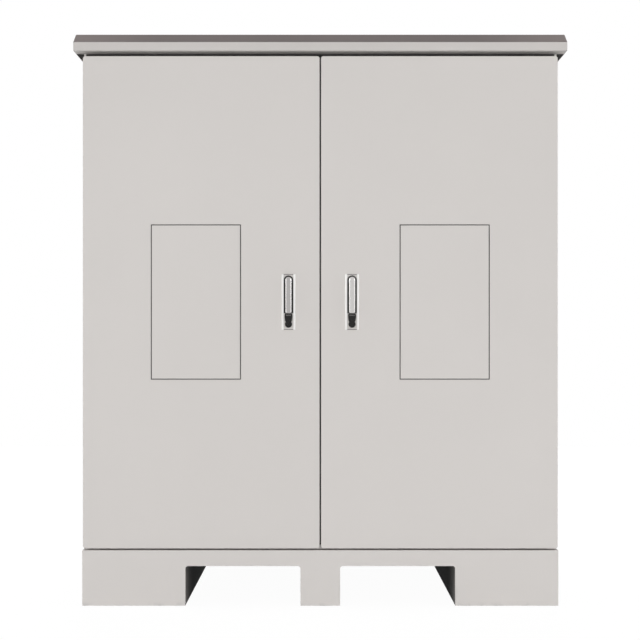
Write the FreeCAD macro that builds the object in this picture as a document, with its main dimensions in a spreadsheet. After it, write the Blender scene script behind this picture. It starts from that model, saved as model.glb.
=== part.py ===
import FreeCAD, Part
import Sketcher
import math
import os
from types import SimpleNamespace

# Battery cabinet: a two-door steel enclosure on a base with fork pockets.
# Millimetres, +X to the right seen from the front, doors face -Y, +Z up.
# The origin is the middle of the footprint, on the ground.

doc = FreeCAD.newDocument("battery_cabinet")
sheet = doc.addObject("Spreadsheet::Sheet", "sizes")

# Driving sizes
DRIVING_SIZES = {
    # overall shell
    "cabinet_width": 1200,
    "cabinet_depth": 800,
    "base_height": 140,
    "wall_sheet": 2,
    "floor_sheet": 3,
    # base
    "beam_sheet": 3,
    "beam_flange": 70,
    "side_flange": 50,
    "centre_foot": 100,
    "pocket_width": 290,
    "pocket_height": 100,
    "pocket_radius": 7,
    "anchor_hole_radius": 7,
    "anchor_side_inset": 60,
    "anchor_front_inset": 40,
    # cable entry in the floor
    "entry_width": 84,
    "entry_depth": 240,
    "entry_lap": 14,
    "entry_sheet": 3,
    "entry_collar": 12,
    "conduit_radius": 25.5,
    "conduit_wall": 3,
    "conduit_spacing": 100,
    # doors
    "door_floor_gap": 4.5,
    "door_height": 1241,
    "door_side_inset": 1.5,
    "door_middle_gap": 3.5,
    "door_depth": 25,
    "door_sheet": 2,
    "door_corner_radius": 6,
    "door_seal_gap": 6,
    "seal_clearance": 0.3,
    "seal_inset_hinge": 43.5,
    "seal_inset_free": 18.25,
    "seal_inset_end": 36,
    "seal_channel_width": 24,
    "seal_channel_sheet": 1.5,
    "gasket_width": 12,
    # blanking panel in each door
    "panel_width": 222,
    "panel_height": 386,
    "panel_gap": 2.7,
    "panel_centre": 313.5,
    "panel_lap": 20,
    "panel_sheet": 2,
    "panel_corner_radius": 2,
    "panel_stud_radius": 2.5,
    "panel_stud_length": 9,
    "panel_nut_radius": 5,
    "panel_nut_thickness": 4,
    # frame behind the doors
    "frame_sheet": 2.5,
    "frame_depth": 20,
    "post_face_width": 68,
    "mullion_half_width": 45,
    "top_rail_height": 69,
    "bottom_rail_height": 62,
    # ceiling and roof
    "ceiling_above_doors": 8.5,
    "ceiling_sheet": 2,
    "roof_side_overhang": 20,
    "roof_front_overhang": 15,
    "roof_sheet": 2,
    "fascia_height": 21,
    "roof_rise": 28,
    "roof_slope_run": 42,
    "roof_rear_fall": 24,
    "roof_lip": 60,
    "soffit_drop": 22,
    "soffit_clearance": 0.3,
    "roof_screw_radius": 4,
    "roof_screw_head_radius": 7,
    "roof_screw_head": 5,
    "roof_screw_inset": 30,
    "roof_vent_count": 8,
    "roof_vent_width": 11,
    "roof_vent_length": 60,
    "roof_vent_pitch": 84,
    # vent slots in the rear wall
    "slot_count": 6,
    "slot_width": 200,
    "slot_height": 8,
    "slot_pitch": 20,
    "slot_start": 240,
    # hinges
    "hinge_inset": 12,
    "hinge_setback": 13,
    "hinge_pin_radius": 3,
    "hinge_running_fit": 0.05,
    "hinge_knuckle_radius": 5.5,
    "hinge_height": 80,
    "hinge_middle_knuckle": 30,
    "hinge_knuckle_gap": 0.3,
    "hinge_end_inset": 120,
    "hinge_arm_sheet": 3,
    "hinge_arm_reach": 25,
    "hinge_foot": 8,
    "hinge_leaf_width": 36,
    "hinge_leaf_sheet": 2.5,
    # swing handle
    "handle_centre": 80,
    "handle_height": 765.5,
    "escutcheon_width": 35,
    "escutcheon_height": 140,
    "escutcheon_proud": 4,
    "escutcheon_radius": 5,
    "boss_width": 27,
    "boss_height": 128,
    "boss_radius": 12,
    "boss_depth": 12,
    "cutout_clearance": 0.3,
    "groove_width": 23,
    "groove_height": 133,
    "groove_radius": 11,
    "groove_depth": 10,
    "lever_width": 16,
    "lever_thickness": 9.5,
    "lever_clearance": 0.5,
    "lever_top": 62.6,
    "lever_bottom": 28,
    "lever_end_radius": 7.5,
    "lever_foot_radius": 3,
    "lever_front_wall": 2,
    "lever_slot_width": 8.4,
    "lever_slot_below": 6,
    "lever_slot_above": 7.5,
    "pivot_height": 52,
    "lever_pin_radius": 1.5,
    "lever_pin_length": 15,
    "tongue_width": 7.6,
    "tongue_radius": 2.4,
    "spindle_head_radius": 9.5,
    "spindle_head": 2,
    "spindle_radius": 6,
    "running_fit": 0.08,
    "face_gap": 0.3,
    # key plug and dust cover
    "plug_drop": 37.5,
    "plug_radius": 5.5,
    "plug_barrel_radius": 8.5,
    "keyway_width": 1.6,
    "keyway_height": 7,
    "keyway_depth": 3,
    "cover_pivot_drop": 56,
    "cover_pin_radius": 2.5,
    "cover_pillar_radius": 5,
    "cover_thickness": 2.7,
    "cover_top_gap": 1.2,
    "cover_top_half_width": 6.5,
    "cover_corner_drop": 32,
    "cover_half_width": 9.8,
    "cover_shoulder_drop": 39,
    "cover_neck_drop": 48,
    "cover_neck_half_width": 7,
    "cover_end_radius": 9,
    # rod lock
    "rod_travel": 18,
    "pinion_teeth": 10,
    "pinion_width": 6,
    "tooth_half_thickness": 1.4,
    "tooth_tip": 1.6,
    "tooth_root": 2.0,
    "tooth_taper": 0.55,
    "rack_back": 7,
    "rod_radius": 5,
    "rod_setback": 40,
    "rod_end_gap": 1,
    "rod_hole_radius": 6,
    "guide_wall": 4,
    "guide_height": 16,
    "guide_end_inset": 110,
    "guide_middle_inset": 330,
    "guide_foot": 34,
    "guide_foot_height": 40,
    "guide_foot_sheet": 3,
    # racks
    "rack_side_room": 17.5,
    "rack_post_width": 30,
    "rack_post_depth": 25,
    "rack_post_sheet": 2,
    "rack_front_setback": 90,
    "rack_rear_inset": 65,
    # battery modules
    "module_count": 6,
    "module_headroom": 174.2,
    "module_case_side_gap": 5,
    "module_case_top_gap": 5.8,
    "module_case_depth": 520,
    "module_face_lap": 16.3,
    "module_face_gap": 1.8,
    "module_face_sheet": 3,
    "module_floor_gap": 20,
    "angle_leg": 20,
    "angle_sheet": 2,
    "grip_inset": 55,
    "grip_height": 96,
    "grip_reach": 33,
    "grip_section": 10,
    "grip_radius": 8,
    # busbars
    "busbar_offset": 32,
    "busbar_width": 25,
    "busbar_sheet": 5,
    "terminal_radius": 8,
    "terminal_length": 12,
    # breakers
    "breaker_panel_height": 130,
    "breaker_panel_gap": 6,
    "breaker_width": 100,
    "breaker_height": 104,
    "breaker_depth": 85,
    "breaker_proud": 32,
    "breaker_slot_width": 18,
    "breaker_slot_height": 44,
    "breaker_slot_depth": 16,
    "toggle_width": 12,
    "toggle_barrel_radius": 5,
    "toggle_setback": 8,
    "toggle_reach": 24,
    "toggle_rise": 11,
    "toggle_half_thickness": 3,
    "toggle_axle_radius": 2,
    # fans in the ceiling
    "fan_width": 120,
    "fan_thickness": 38,
    "fan_corner_radius": 6,
    "fan_bore_radius": 57,
    "fan_strut_width": 8,
    "fan_strut_sheet": 3,
    "fan_motor_radius": 22,
    "fan_motor_height": 6,
    "fan_setback": 300,
    "fan_hub_radius": 20,
    "fan_hub_height": 26,
    "fan_blade_count": 7,
    "fan_blade_tip": 54,
    "fan_blade_chord": 24,
    "fan_blade_rise": 18,
    "fan_blade_sheet": 1.6,
}

for row, (size_name, number) in enumerate(DRIVING_SIZES.items(), start=1):
    sheet.set(f"A{row}", size_name)
    sheet.set(f"B{row}", str(number))
    sheet.setAlias(f"B{row}", size_name)
doc.recompute()


class Size:
    """A length or place: the formula that ties it to the sheet, and what it comes to."""

    def __init__(self, formula, number):
        self.formula = formula
        self.number = number

    def __neg__(self):
        return Size(f"-({self.formula})", -self.number)

    def __add__(self, other):
        other = as_size(other)
        return Size(f"({self.formula} + {other.formula})", self.number + other.number)

    def __sub__(self, other):
        other = as_size(other)
        return Size(f"({self.formula} - {other.formula})", self.number - other.number)

    def __mul__(self, other):
        other = as_size(other)
        return Size(f"({self.formula}) * ({other.formula})", self.number * other.number)

    def __truediv__(self, other):
        other = as_size(other)
        return Size(f"({self.formula}) / ({other.formula})", self.number / other.number)

    def __radd__(self, other):
        return as_size(other) + self

    def __rsub__(self, other):
        return as_size(other) - self

    def __rmul__(self, other):
        return as_size(other) * self


def as_size(value):
    return value if isinstance(value, Size) else Size(str(value), float(value))


s = SimpleNamespace(**{name: Size(f"sizes.{name}", number) for name, number in DRIVING_SIZES.items()})


# Outlines drawn in sketches

def around(centre, width):
    """The two ends of a width that is centred on a place."""
    centre = as_size(centre)
    return centre - width / 2, centre + width / 2


def rectangle(u_ends, v_ends, radius=None):
    (u0, u1), (v0, v1) = u_ends, v_ends
    return [(u0, v0, radius), (u1, v0, radius), (u1, v1, radius), (u0, v1, radius)]


def circle(u, v, radius):
    return as_size(u), as_size(v), as_size(radius)


def fix_point(sketch, geometry, end, u, v):
    """Hold one point of a sketch at its distance from the sketch's origin."""
    for kind, place in (("DistanceX", as_size(u)), ("DistanceY", as_size(v))):
        index = sketch.addConstraint(Sketcher.Constraint(kind, -1, 1, geometry, end, place.number))
        sketch.setExpression(f"Constraints[{index}]", place.formula)


def draw_circle(sketch, u, v, radius):
    centre = FreeCAD.Vector(u.number, v.number, 0)
    shape = Part.Circle(centre, FreeCAD.Vector(0, 0, 1), radius.number)
    geometry = sketch.addGeometry(shape)
    fix_point(sketch, geometry, 3, u, v)
    index = sketch.addConstraint(Sketcher.Constraint("Radius", geometry, radius.number))
    sketch.setExpression(f"Constraints[{index}]", radius.formula)


def direction(start, end):
    """The unit step from one corner to the next, along U or V, as plain numbers."""
    du = end[0].number - start[0].number
    dv = end[1].number - start[1].number
    length = math.hypot(du, dv)
    return du / length, dv / length


def draw_polygon(sketch, corners):
    """Straight sides joined at the corners; a square corner with a radius gets an arc."""
    corners = [(as_size(c[0]), as_size(c[1]), c[2] if len(c) > 2 else None) for c in corners]
    count = len(corners)
    arrive, leave, turns = [], [], []
    for k, (u, v, radius) in enumerate(corners):
        into = direction(corners[k - 1], corners[k])
        out = direction(corners[k], corners[(k + 1) % count])
        turns.append((into, out))
        if radius is None:
            arrive.append((u, v))
            leave.append((u, v))
        else:
            arrive.append((u - round(into[0]) * radius, v - round(into[1]) * radius))
            leave.append((u + round(out[0]) * radius, v + round(out[1]) * radius))
    sides = []
    for k in range(count):
        start = leave[k]
        end = arrive[(k + 1) % count]
        first = FreeCAD.Vector(start[0].number, start[1].number, 0)
        last = FreeCAD.Vector(end[0].number, end[1].number, 0)
        sides.append(sketch.addGeometry(Part.LineSegment(first, last)))
        fix_point(sketch, sides[k], 1, *start)
        if corners[(k + 1) % count][2] is not None:
            fix_point(sketch, sides[k], 2, *end)
    for k, (u, v, radius) in enumerate(corners):
        previous = sides[k - 1]
        if radius is None:
            sketch.addConstraint(Sketcher.Constraint("Coincident", previous, 2, sides[k], 1))
        else:
            draw_corner_arc(sketch, arrive[k], leave[k], turns[k], radius, previous, sides[k])


def draw_corner_arc(sketch, start, end, turn, radius, previous, following):
    (in_u, in_v), (out_u, out_v) = turn
    centre = FreeCAD.Vector(
        start[0].number + round(out_u) * radius.number, start[1].number + round(out_v) * radius.number, 0
    )
    turns_left = in_u * out_v - in_v * out_u > 0
    first, last = (start, end) if turns_left else (end, start)
    angles = [
        math.atan2(point[1].number - centre.y, point[0].number - centre.x) for point in (first, last)
    ]
    ring = Part.Circle(centre, FreeCAD.Vector(0, 0, 1), radius.number)
    arc = sketch.addGeometry(Part.ArcOfCircle(ring, angles[0], angles[1]))
    arc_start, arc_end = (1, 2) if turns_left else (2, 1)
    sketch.addConstraint(Sketcher.Constraint("Coincident", previous, 2, arc, arc_start))
    sketch.addConstraint(Sketcher.Constraint("Coincident", arc, arc_end, following, 1))
    index = sketch.addConstraint(Sketcher.Constraint("Radius", arc, radius.number))
    sketch.setExpression(f"Constraints[{index}]", radius.formula)


# Bodies made of pads and pockets between two places along the plane's normal

def sketch_on(body, plane, place, outlines):
    sketch = body.newObject("Sketcher::SketchObject", f"{body.Name}_outline")
    origin_plane = next(o for o in body.Origin.OriginFeatures if o.Role == f"{plane}_Plane")
    sketch.AttachmentSupport = [(origin_plane, "")]
    sketch.MapMode = "FlatFace"
    sketch.setExpression("AttachmentOffset.Base.z", place.formula)
    for outline in outlines:
        if isinstance(outline, tuple):
            draw_circle(sketch, *outline)
        else:
            draw_polygon(sketch, outline)
    return sketch


def new_body(name):
    body = doc.addObject("PartDesign::Body", name)
    body.Label = name
    return body


def feature_between(body, kind, plane, outlines, ends):
    """The sketch plane XZ looks along -Y, so a feature on it starts at its far end."""
    low, high = (as_size(end) for end in ends)
    feature = body.newObject(f"PartDesign::{kind}", f"{body.Name}_{kind.lower()}")
    feature.Profile = sketch_on(body, plane, -high if plane == "XZ" else low, outlines)
    feature.setExpression("Length", (high - low).formula)
    return feature


def pad(body, plane, outlines, ends):
    return feature_between(body, "Pad", plane, outlines, ends)


def pocket(body, plane, outlines, ends):
    feature = feature_between(body, "Pocket", plane, outlines, ends)
    feature.Reversed = True
    return feature


def extruded(name, plane, outlines, ends):
    body = new_body(name)
    pad(body, plane, outlines, ends)
    return body


# Plain solids and the ways they are joined

TURN_TO_AXIS = {
    "x": FreeCAD.Rotation(FreeCAD.Vector(0, 1, 0), 90),
    "z": FreeCAD.Rotation(),
}


def place_at(piece, x, y, z):
    for axis, place in (("x", x), ("y", y), ("z", z)):
        piece.setExpression(f"Placement.Base.{axis}", as_size(place).formula)


def cylinder(name, axis, middle, radius, ends):
    """A cylinder along an axis; middle gives its two other coordinates in X, Y, Z order."""
    piece = doc.addObject("Part::Cylinder", name)
    piece.Placement = FreeCAD.Placement(FreeCAD.Vector(), TURN_TO_AXIS[axis])
    low, high = (as_size(end) for end in ends)
    piece.setExpression("Radius", as_size(radius).formula)
    piece.setExpression("Height", (high - low).formula)
    place = list(middle)
    place.insert("xyz".index(axis), low)
    place_at(piece, *place)
    return piece


def fused(name, pieces):
    joined = doc.addObject("Part::MultiFuse", name)
    joined.Shapes = pieces
    joined.Refine = True
    return joined


def group(name, pieces):
    """Separate solids of one kind, kept together under one name."""
    together = doc.addObject("Part::Compound", name)
    together.Links = pieces
    return together


def moved_copy(name, source, x=0, y=0, z=0):
    copy = doc.addObject("App::Link", name)
    copy.LinkedObject = source
    copy.LinkTransform = True
    place_at(copy, x, y, z)
    return copy


def mirrored(name, source):
    """The same piece on the right-hand side of the cabinet's middle plane."""
    other = doc.addObject("Part::Mirroring", name)
    other.Source = source
    other.Normal = (1, 0, 0)
    return other


# Places that several pieces share
half_width = s.cabinet_width / 2
front = -(s.cabinet_depth / 2)
back = s.cabinet_depth / 2
floor_top = s.base_height + s.floor_sheet
door_bottom = s.base_height + s.door_floor_gap
door_top = door_bottom + s.door_height
door_back = front + s.door_depth
skin_back = front + s.door_sheet
frame_front = door_back + s.door_seal_gap
frame_back = frame_front + s.frame_depth
ceiling_bottom = door_top + s.ceiling_above_doors
ceiling_top = ceiling_bottom + s.ceiling_sheet
inner_half_width = half_width - s.wall_sheet
rear_wall_front = back - s.wall_sheet
post_opening = inner_half_width - s.post_face_width
post_inner_face = post_opening + s.frame_sheet
top_rail_bottom = ceiling_bottom - s.top_rail_height
bottom_rail_top = floor_top + s.bottom_rail_height


# Base: a front and a rear beam with the fork pockets cut in them
pocket_inner = s.centre_foot / 2
pocket_outer = pocket_inner + s.pocket_width
tunnel_inner = pocket_inner - s.beam_sheet
tunnel_outer = pocket_outer + s.beam_sheet
tunnel_top = s.pocket_height + s.beam_sheet
beam_back = front + s.beam_flange


def base_beam(name):
    """Channel with its web to the front; its flanges stop beside the fork tunnels."""
    web_back = front + s.beam_sheet
    below = -(2 * s.pocket_radius)
    beam = extruded(name, "XZ", [rectangle((-half_width, half_width), (0, s.base_height))], (front, web_back))
    inner = half_width - s.beam_sheet
    for z_ends in ((0, s.beam_sheet), (s.base_height - s.beam_sheet, s.base_height)):
        pad(beam, "XY", [rectangle((-inner, inner), (web_back, beam_back))], z_ends)
    pockets = [
        rectangle(ends, (below, s.pocket_height), s.pocket_radius)
        for ends in ((-pocket_outer, -pocket_inner), (pocket_inner, pocket_outer))
    ]
    pocket(beam, "XZ", pockets, (front, web_back))
    flange_gaps = [
        rectangle(ends, (below, tunnel_top))
        for ends in ((-tunnel_outer, -tunnel_inner), (tunnel_inner, tunnel_outer))
    ]
    pocket(beam, "XZ", flange_gaps, (web_back, beam_back))
    anchor_x = half_width - s.anchor_side_inset
    anchor_y = front + s.anchor_front_inset
    anchors = [circle(x, anchor_y, s.anchor_hole_radius) for x in (-anchor_x, anchor_x)]
    pocket(beam, "XY", anchors, (0, s.beam_sheet))
    return beam


front_beam = base_beam("base_front_beam")
rear_beam = doc.addObject("Part::Mirroring", "base_rear_beam")
rear_beam.Source = front_beam
rear_beam.Normal = (0, 1, 0)


def base_side_beam():
    """Channel between the two beams, its flanges turned inwards."""
    web_end = back - s.beam_sheet
    flange_end = back - s.beam_flange
    web_face = -half_width + s.beam_sheet
    beam = extruded(
        "left_side_beam", "YZ", [rectangle((-web_end, web_end), (0, s.base_height))], (-half_width, web_face)
    )
    for z_ends in ((0, s.beam_sheet), (s.base_height - s.beam_sheet, s.base_height)):
        outline = rectangle((web_face, web_face + s.side_flange), (-flange_end, flange_end))
        pad(beam, "XY", [outline], z_ends)
    return beam


left_side_beam = base_side_beam()
group("base_side_beams", [left_side_beam, mirrored("right_side_beam", left_side_beam)])

tunnel_outline = [
    (-tunnel_outer, 0),
    (-pocket_outer, 0),
    (-pocket_outer, s.pocket_height),
    (-pocket_inner, s.pocket_height),
    (-pocket_inner, 0),
    (-tunnel_inner, 0),
    (-tunnel_inner, tunnel_top),
    (-tunnel_outer, tunnel_top),
]
tunnel_end = back - s.beam_sheet
left_tunnel = extruded("left_fork_tunnel", "XZ", [tunnel_outline], (-tunnel_end, tunnel_end))
group("fork_tunnels", [left_tunnel, mirrored("right_fork_tunnel", left_tunnel)])


# Floor plate with the cable entry, and its bolted plate with two conduit collars
floor_outline = rectangle((-inner_half_width, inner_half_width), (frame_front, rear_wall_front))
entry_hole = rectangle(around(0, s.entry_width), around(0, s.entry_depth))
extruded("floor_plate", "XY", [floor_outline, entry_hole], (s.base_height, floor_top))

entry_plate = new_body("cable_entry_plate")
entry_top = floor_top + s.entry_sheet
conduit_places = [-(s.conduit_spacing / 2), s.conduit_spacing / 2]
pad(
    entry_plate,
    "XY",
    [rectangle(around(0, s.entry_width + 2 * s.entry_lap), around(0, s.entry_depth + 2 * s.entry_lap))],
    (floor_top, entry_top),
)
pad(
    entry_plate,
    "XY",
    [circle(0, y, s.conduit_radius + s.conduit_wall) for y in conduit_places],
    (entry_top, entry_top + s.entry_collar),
)
pocket(
    entry_plate,
    "XY",
    [circle(0, y, s.conduit_radius) for y in conduit_places],
    (floor_top, entry_top + s.entry_collar),
)


# Shell walls
wall_outline = rectangle((frame_front, back), (s.base_height, ceiling_bottom))
left_wall = extruded("left_side_wall", "YZ", [wall_outline], (-half_width, -inner_half_width))
mirrored("right_side_wall", left_wall)

slot_outlines = []
for k in range(DRIVING_SIZES["slot_count"]):
    slot_low = s.slot_start + s.slot_pitch * k
    for x in (-s.panel_centre, s.panel_centre):
        slot_outlines.append(rectangle(around(x, s.slot_width), (slot_low, slot_low + s.slot_height)))
rear_outline = rectangle((-inner_half_width, inner_half_width), (s.base_height, ceiling_bottom))
extruded("rear_wall", "XZ", [rear_outline] + slot_outlines, (rear_wall_front, back))


# Door frame: two side posts and a middle post, with rails above and below each opening
post_outline = [
    (-inner_half_width, frame_front),
    (-post_opening, frame_front),
    (-post_opening, frame_back),
    (-post_inner_face, frame_back),
    (-post_inner_face, frame_front + s.frame_sheet),
    (-inner_half_width, frame_front + s.frame_sheet),
]
mullion = s.mullion_half_width
mullion_inner = mullion - s.frame_sheet
mullion_outline = [
    (-mullion, frame_front),
    (mullion, frame_front),
    (mullion, frame_back),
    (mullion_inner, frame_back),
    (mullion_inner, frame_front + s.frame_sheet),
    (-mullion_inner, frame_front + s.frame_sheet),
    (-mullion_inner, frame_back),
    (-mullion, frame_back),
]
left_post = extruded("left_frame_post", "XY", [post_outline], (floor_top, ceiling_bottom))
middle_post = extruded("middle_frame_post", "XY", [mullion_outline], (floor_top, ceiling_bottom))
group("door_frame_posts", [left_post, middle_post, mirrored("right_frame_post", left_post)])

upper_rod_x = s.handle_centre - s.rod_travel * 2 / math.pi - s.tooth_root - s.rack_back / 2
lower_rod_x = s.handle_centre + s.rod_travel * 2 / math.pi + s.tooth_root + s.rack_back / 2
rod_y = front + s.rod_setback


def frame_rail(name, face_z, flange_z, rod_x):
    """Angle across one door opening; the lock rod's hole is in its flange."""
    rail = new_body(name)
    x_ends = (-post_opening, -mullion)
    face_back = frame_front + s.frame_sheet
    pad(rail, "XZ", [rectangle(x_ends, face_z)], (frame_front, face_back))
    pad(rail, "XY", [rectangle(x_ends, (face_back, frame_back))], flange_z)
    pocket(rail, "XY", [circle(-rod_x, rod_y, s.rod_hole_radius)], flange_z)
    return rail


bottom_face = (floor_top, bottom_rail_top)
bottom_flange = (bottom_rail_top - s.frame_sheet, bottom_rail_top)
top_face = (top_rail_bottom, ceiling_bottom)
top_flange = (top_rail_bottom, top_rail_bottom + s.frame_sheet)
left_rails = group(
    "left_frame_rails",
    [
        frame_rail("left_bottom_rail", bottom_face, bottom_flange, lower_rod_x),
        frame_rail("left_top_rail", top_face, top_flange, upper_rod_x),
    ],
)
group("door_frame_rails", [left_rails, mirrored("right_frame_rails", left_rails)])


# Ceiling plate with the two fan holes
bay_centre = (s.mullion_half_width + post_opening) / 2
fan_y = front + s.fan_setback
screw_x = half_width - s.roof_screw_inset
screw_ends = (frame_front + s.roof_screw_inset, back - s.roof_screw_inset)
screw_places = [(x, y) for x in (-screw_x, as_size(0), screw_x) for y in screw_ends]
ceiling_outline = rectangle((-half_width, half_width), (frame_front, back))
ceiling_holes = [circle(x, fan_y, s.fan_bore_radius) for x in (-bay_centre, bay_centre)]
screw_holes = [circle(x, y, s.roof_screw_radius) for x, y in screw_places]
ceiling_outlines = [ceiling_outline] + ceiling_holes + screw_holes
extruded("ceiling_plate", "XY", ceiling_outlines, (ceiling_bottom, ceiling_top))


# Roof cap: a hollow tray turned over, with an inner lip and a slanted soffit at each side
roof_front = front - s.roof_front_overhang
roof_back = back + s.roof_front_overhang
roof_half = half_width + s.roof_side_overhang
fascia_top = ceiling_top + s.fascia_height
ridge_top = fascia_top + s.roof_rise
ridge_y = roof_front + s.roof_slope_run
rear_top = ridge_top - s.roof_rear_fall


def roof_profile(inset):
    """Side view of the roof, drawn in by the sheet's thickness for its inside."""
    return [
        (roof_front + inset, ceiling_top + inset),
        (roof_back - inset, ceiling_top + inset),
        (roof_back - inset, rear_top - inset),
        (ridge_y + inset / 4, ridge_top - inset),
        (roof_front + inset, fascia_top - inset / 2),
    ]


roof_shell = new_body("roof_shell")
pad(roof_shell, "YZ", [roof_profile(as_size(0))], (-roof_half, roof_half))
pocket(roof_shell, "YZ", [roof_profile(s.roof_sheet)], (-roof_half + s.roof_sheet, roof_half - s.roof_sheet))
lip_x = half_width - s.roof_lip
pocket(
    roof_shell,
    "XY",
    [rectangle((-lip_x, lip_x), (frame_front + s.roof_lip, back - s.roof_lip))],
    (ceiling_top, ceiling_top + s.roof_sheet),
)
pocket(
    roof_shell,
    "XY",
    [circle(x, y, s.roof_screw_radius) for x, y in screw_places],
    (ceiling_top, ceiling_top + s.roof_sheet),
)
vent_x = half_width + s.roof_side_overhang / 2
vent_outlines = []
for k in range(DRIVING_SIZES["roof_vent_count"]):
    vent_y = (k - (s.roof_vent_count - 1) / 2) * s.roof_vent_pitch
    for x in (-vent_x, vent_x):
        vent_outlines.append(rectangle(around(x, s.roof_vent_width), around(vent_y, s.roof_vent_length)))
pocket(roof_shell, "XY", vent_outlines, (ceiling_top, ceiling_top + s.roof_sheet))
soffit_foot = half_width + s.soffit_clearance
soffit_low = ceiling_top - s.soffit_drop
soffit_thick = s.roof_sheet * math.sqrt(2)
soffit_outline = [
    (-roof_half, ceiling_top),
    (-soffit_foot, soffit_low),
    (-soffit_foot, soffit_low + soffit_thick),
    (-roof_half + soffit_thick, ceiling_top),
]
soffit_cap_outline = [(-roof_half, ceiling_top), (-soffit_foot, soffit_low), (-soffit_foot, ceiling_top)]
left_soffit = new_body("left_soffit")
pad(left_soffit, "XZ", [soffit_outline], (frame_front, roof_back))
for soffit_ends in ((frame_front, frame_front + s.roof_sheet), (roof_back - s.roof_sheet, roof_back)):
    pad(left_soffit, "XZ", [soffit_cap_outline], soffit_ends)
pocket(left_soffit, "XY", vent_outlines[::2], (soffit_low, ceiling_top))
fused("roof_cap", [roof_shell, left_soffit, mirrored("right_soffit", left_soffit)])

screw_head_bottom = ceiling_bottom - s.roof_screw_head
roof_screws = []
for k, (x, y) in enumerate(screw_places):
    head_ends = (screw_head_bottom, ceiling_bottom)
    head = cylinder(f"roof_screw_head_{k}", "z", (x, y), s.roof_screw_head_radius, head_ends)
    shank_top = ceiling_top + 2 * s.roof_sheet + s.roof_screw_head
    shank = cylinder(f"roof_screw_shank_{k}", "z", (x, y), s.roof_screw_radius, (ceiling_bottom, shank_top))
    roof_screws.append(fused(f"roof_screw_{k}", [head, shank]))
group("roof_screws", roof_screws)


# Doors: a folded pan with a hollow channel round its inside that carries the gasket
door_outer_x = half_width - s.door_side_inset
door_free_x = s.door_middle_gap / 2
cutout_z = around(s.handle_height, s.boss_height + 2 * s.cutout_clearance)
panel_hole_u = around(-s.panel_centre, s.panel_width + 2 * s.panel_gap)
panel_hole_v = around(s.handle_height, s.panel_height + 2 * s.panel_gap)
stud_half_u = s.panel_width / 2 + s.panel_gap + s.panel_lap / 2
stud_half_v = s.panel_height / 2 + s.panel_gap + s.panel_lap / 2
stud_places = [
    (-s.panel_centre + side * stud_half_u, s.handle_height + level * stud_half_v)
    for side in (-1, 1)
    for level in (-1, 0, 1)
] + [(-s.panel_centre, s.handle_height + level * stud_half_v) for level in (-1, 1)]

door = new_body("left_door")
door_outline = rectangle((-door_outer_x, -door_free_x), (door_bottom, door_top), s.door_corner_radius)
pad(door, "XZ", [door_outline], (front, door_back))
inner_outline = rectangle(
    (-door_outer_x + s.door_sheet, -door_free_x - s.door_sheet),
    (door_bottom + s.door_sheet, door_top - s.door_sheet),
    s.door_corner_radius - s.door_sheet,
)
pocket(door, "XZ", [inner_outline], (skin_back, door_back))
door_holes = [
    rectangle(panel_hole_u, panel_hole_v, s.panel_corner_radius),
    rectangle(around(-s.handle_centre, s.boss_width + 2 * s.cutout_clearance), cutout_z, s.boss_radius),
]
pocket(door, "XZ", door_holes, (front, skin_back))
pad(
    door,
    "XZ",
    [circle(u, v, s.panel_stud_radius) for u, v in stud_places],
    (skin_back, skin_back + s.panel_stud_length),
)
mirrored("right_door", door)


def seal_rectangle(inset, radius=None):
    """A rectangle round the door, drawn in from the seal channel's outer edge."""
    return rectangle(
        (-door_outer_x + s.seal_inset_hinge + inset, -door_free_x - s.seal_inset_free - inset),
        (door_bottom + s.seal_inset_end + inset, door_top - s.seal_inset_end - inset),
        radius,
    )


channel = new_body("left_seal_channel")
pad(channel, "XZ", [seal_rectangle(as_size(0)), seal_rectangle(s.seal_channel_width)], (skin_back, door_back))
pocket(
    channel,
    "XZ",
    [
        seal_rectangle(s.seal_channel_sheet),
        seal_rectangle(s.seal_channel_width - s.seal_channel_sheet),
    ],
    (skin_back, door_back - s.seal_channel_sheet),
)
mirrored("right_seal_channel", channel)

gasket_inset = (s.seal_channel_width - s.gasket_width) / 2
gasket = extruded(
    "left_gasket",
    "XZ",
    [seal_rectangle(gasket_inset), seal_rectangle(gasket_inset + s.gasket_width)],
    (door_back, frame_front - s.seal_clearance),
)
mirrored("right_gasket", gasket)


# Blanking panel: pressed forward to lie flush with the door, held by nuts from inside
panel_u = around(-s.panel_centre, s.panel_width)
panel_v = around(s.handle_height, s.panel_height)
panel_flange_u = (panel_hole_u[0] - s.panel_lap, panel_hole_u[1] + s.panel_lap)
panel_flange_v = (panel_hole_v[0] - s.panel_lap, panel_hole_v[1] + s.panel_lap)
panel_back = skin_back + s.panel_sheet
panel = new_body("left_blanking_panel")
pad(panel, "XZ", [rectangle(panel_flange_u, panel_flange_v, s.door_corner_radius)], (skin_back, panel_back))
pad(panel, "XZ", [rectangle(panel_u, panel_v, s.panel_corner_radius)], (front, skin_back))
panel_inside = rectangle(
    (panel_u[0] + s.panel_sheet, panel_u[1] - s.panel_sheet),
    (panel_v[0] + s.panel_sheet, panel_v[1] - s.panel_sheet),
)
pocket(panel, "XZ", [panel_inside], (front + s.panel_sheet, panel_back))
panel_stud_holes = [circle(u, v, s.panel_stud_radius + s.face_gap) for u, v in stud_places]
pocket(panel, "XZ", panel_stud_holes, (skin_back, panel_back))
mirrored("right_blanking_panel", panel)

nut_bore = s.panel_stud_radius + s.running_fit
nuts = [
    extruded(
        f"left_panel_nut_{k}",
        "XZ",
        [circle(u, v, s.panel_nut_radius), circle(u, v, nut_bore)],
        (panel_back, panel_back + s.panel_nut_thickness),
    )
    for k, (u, v) in enumerate(stud_places)
]
left_nuts = group("left_panel_nuts", nuts)
mirrored("right_panel_nuts", left_nuts)


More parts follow.
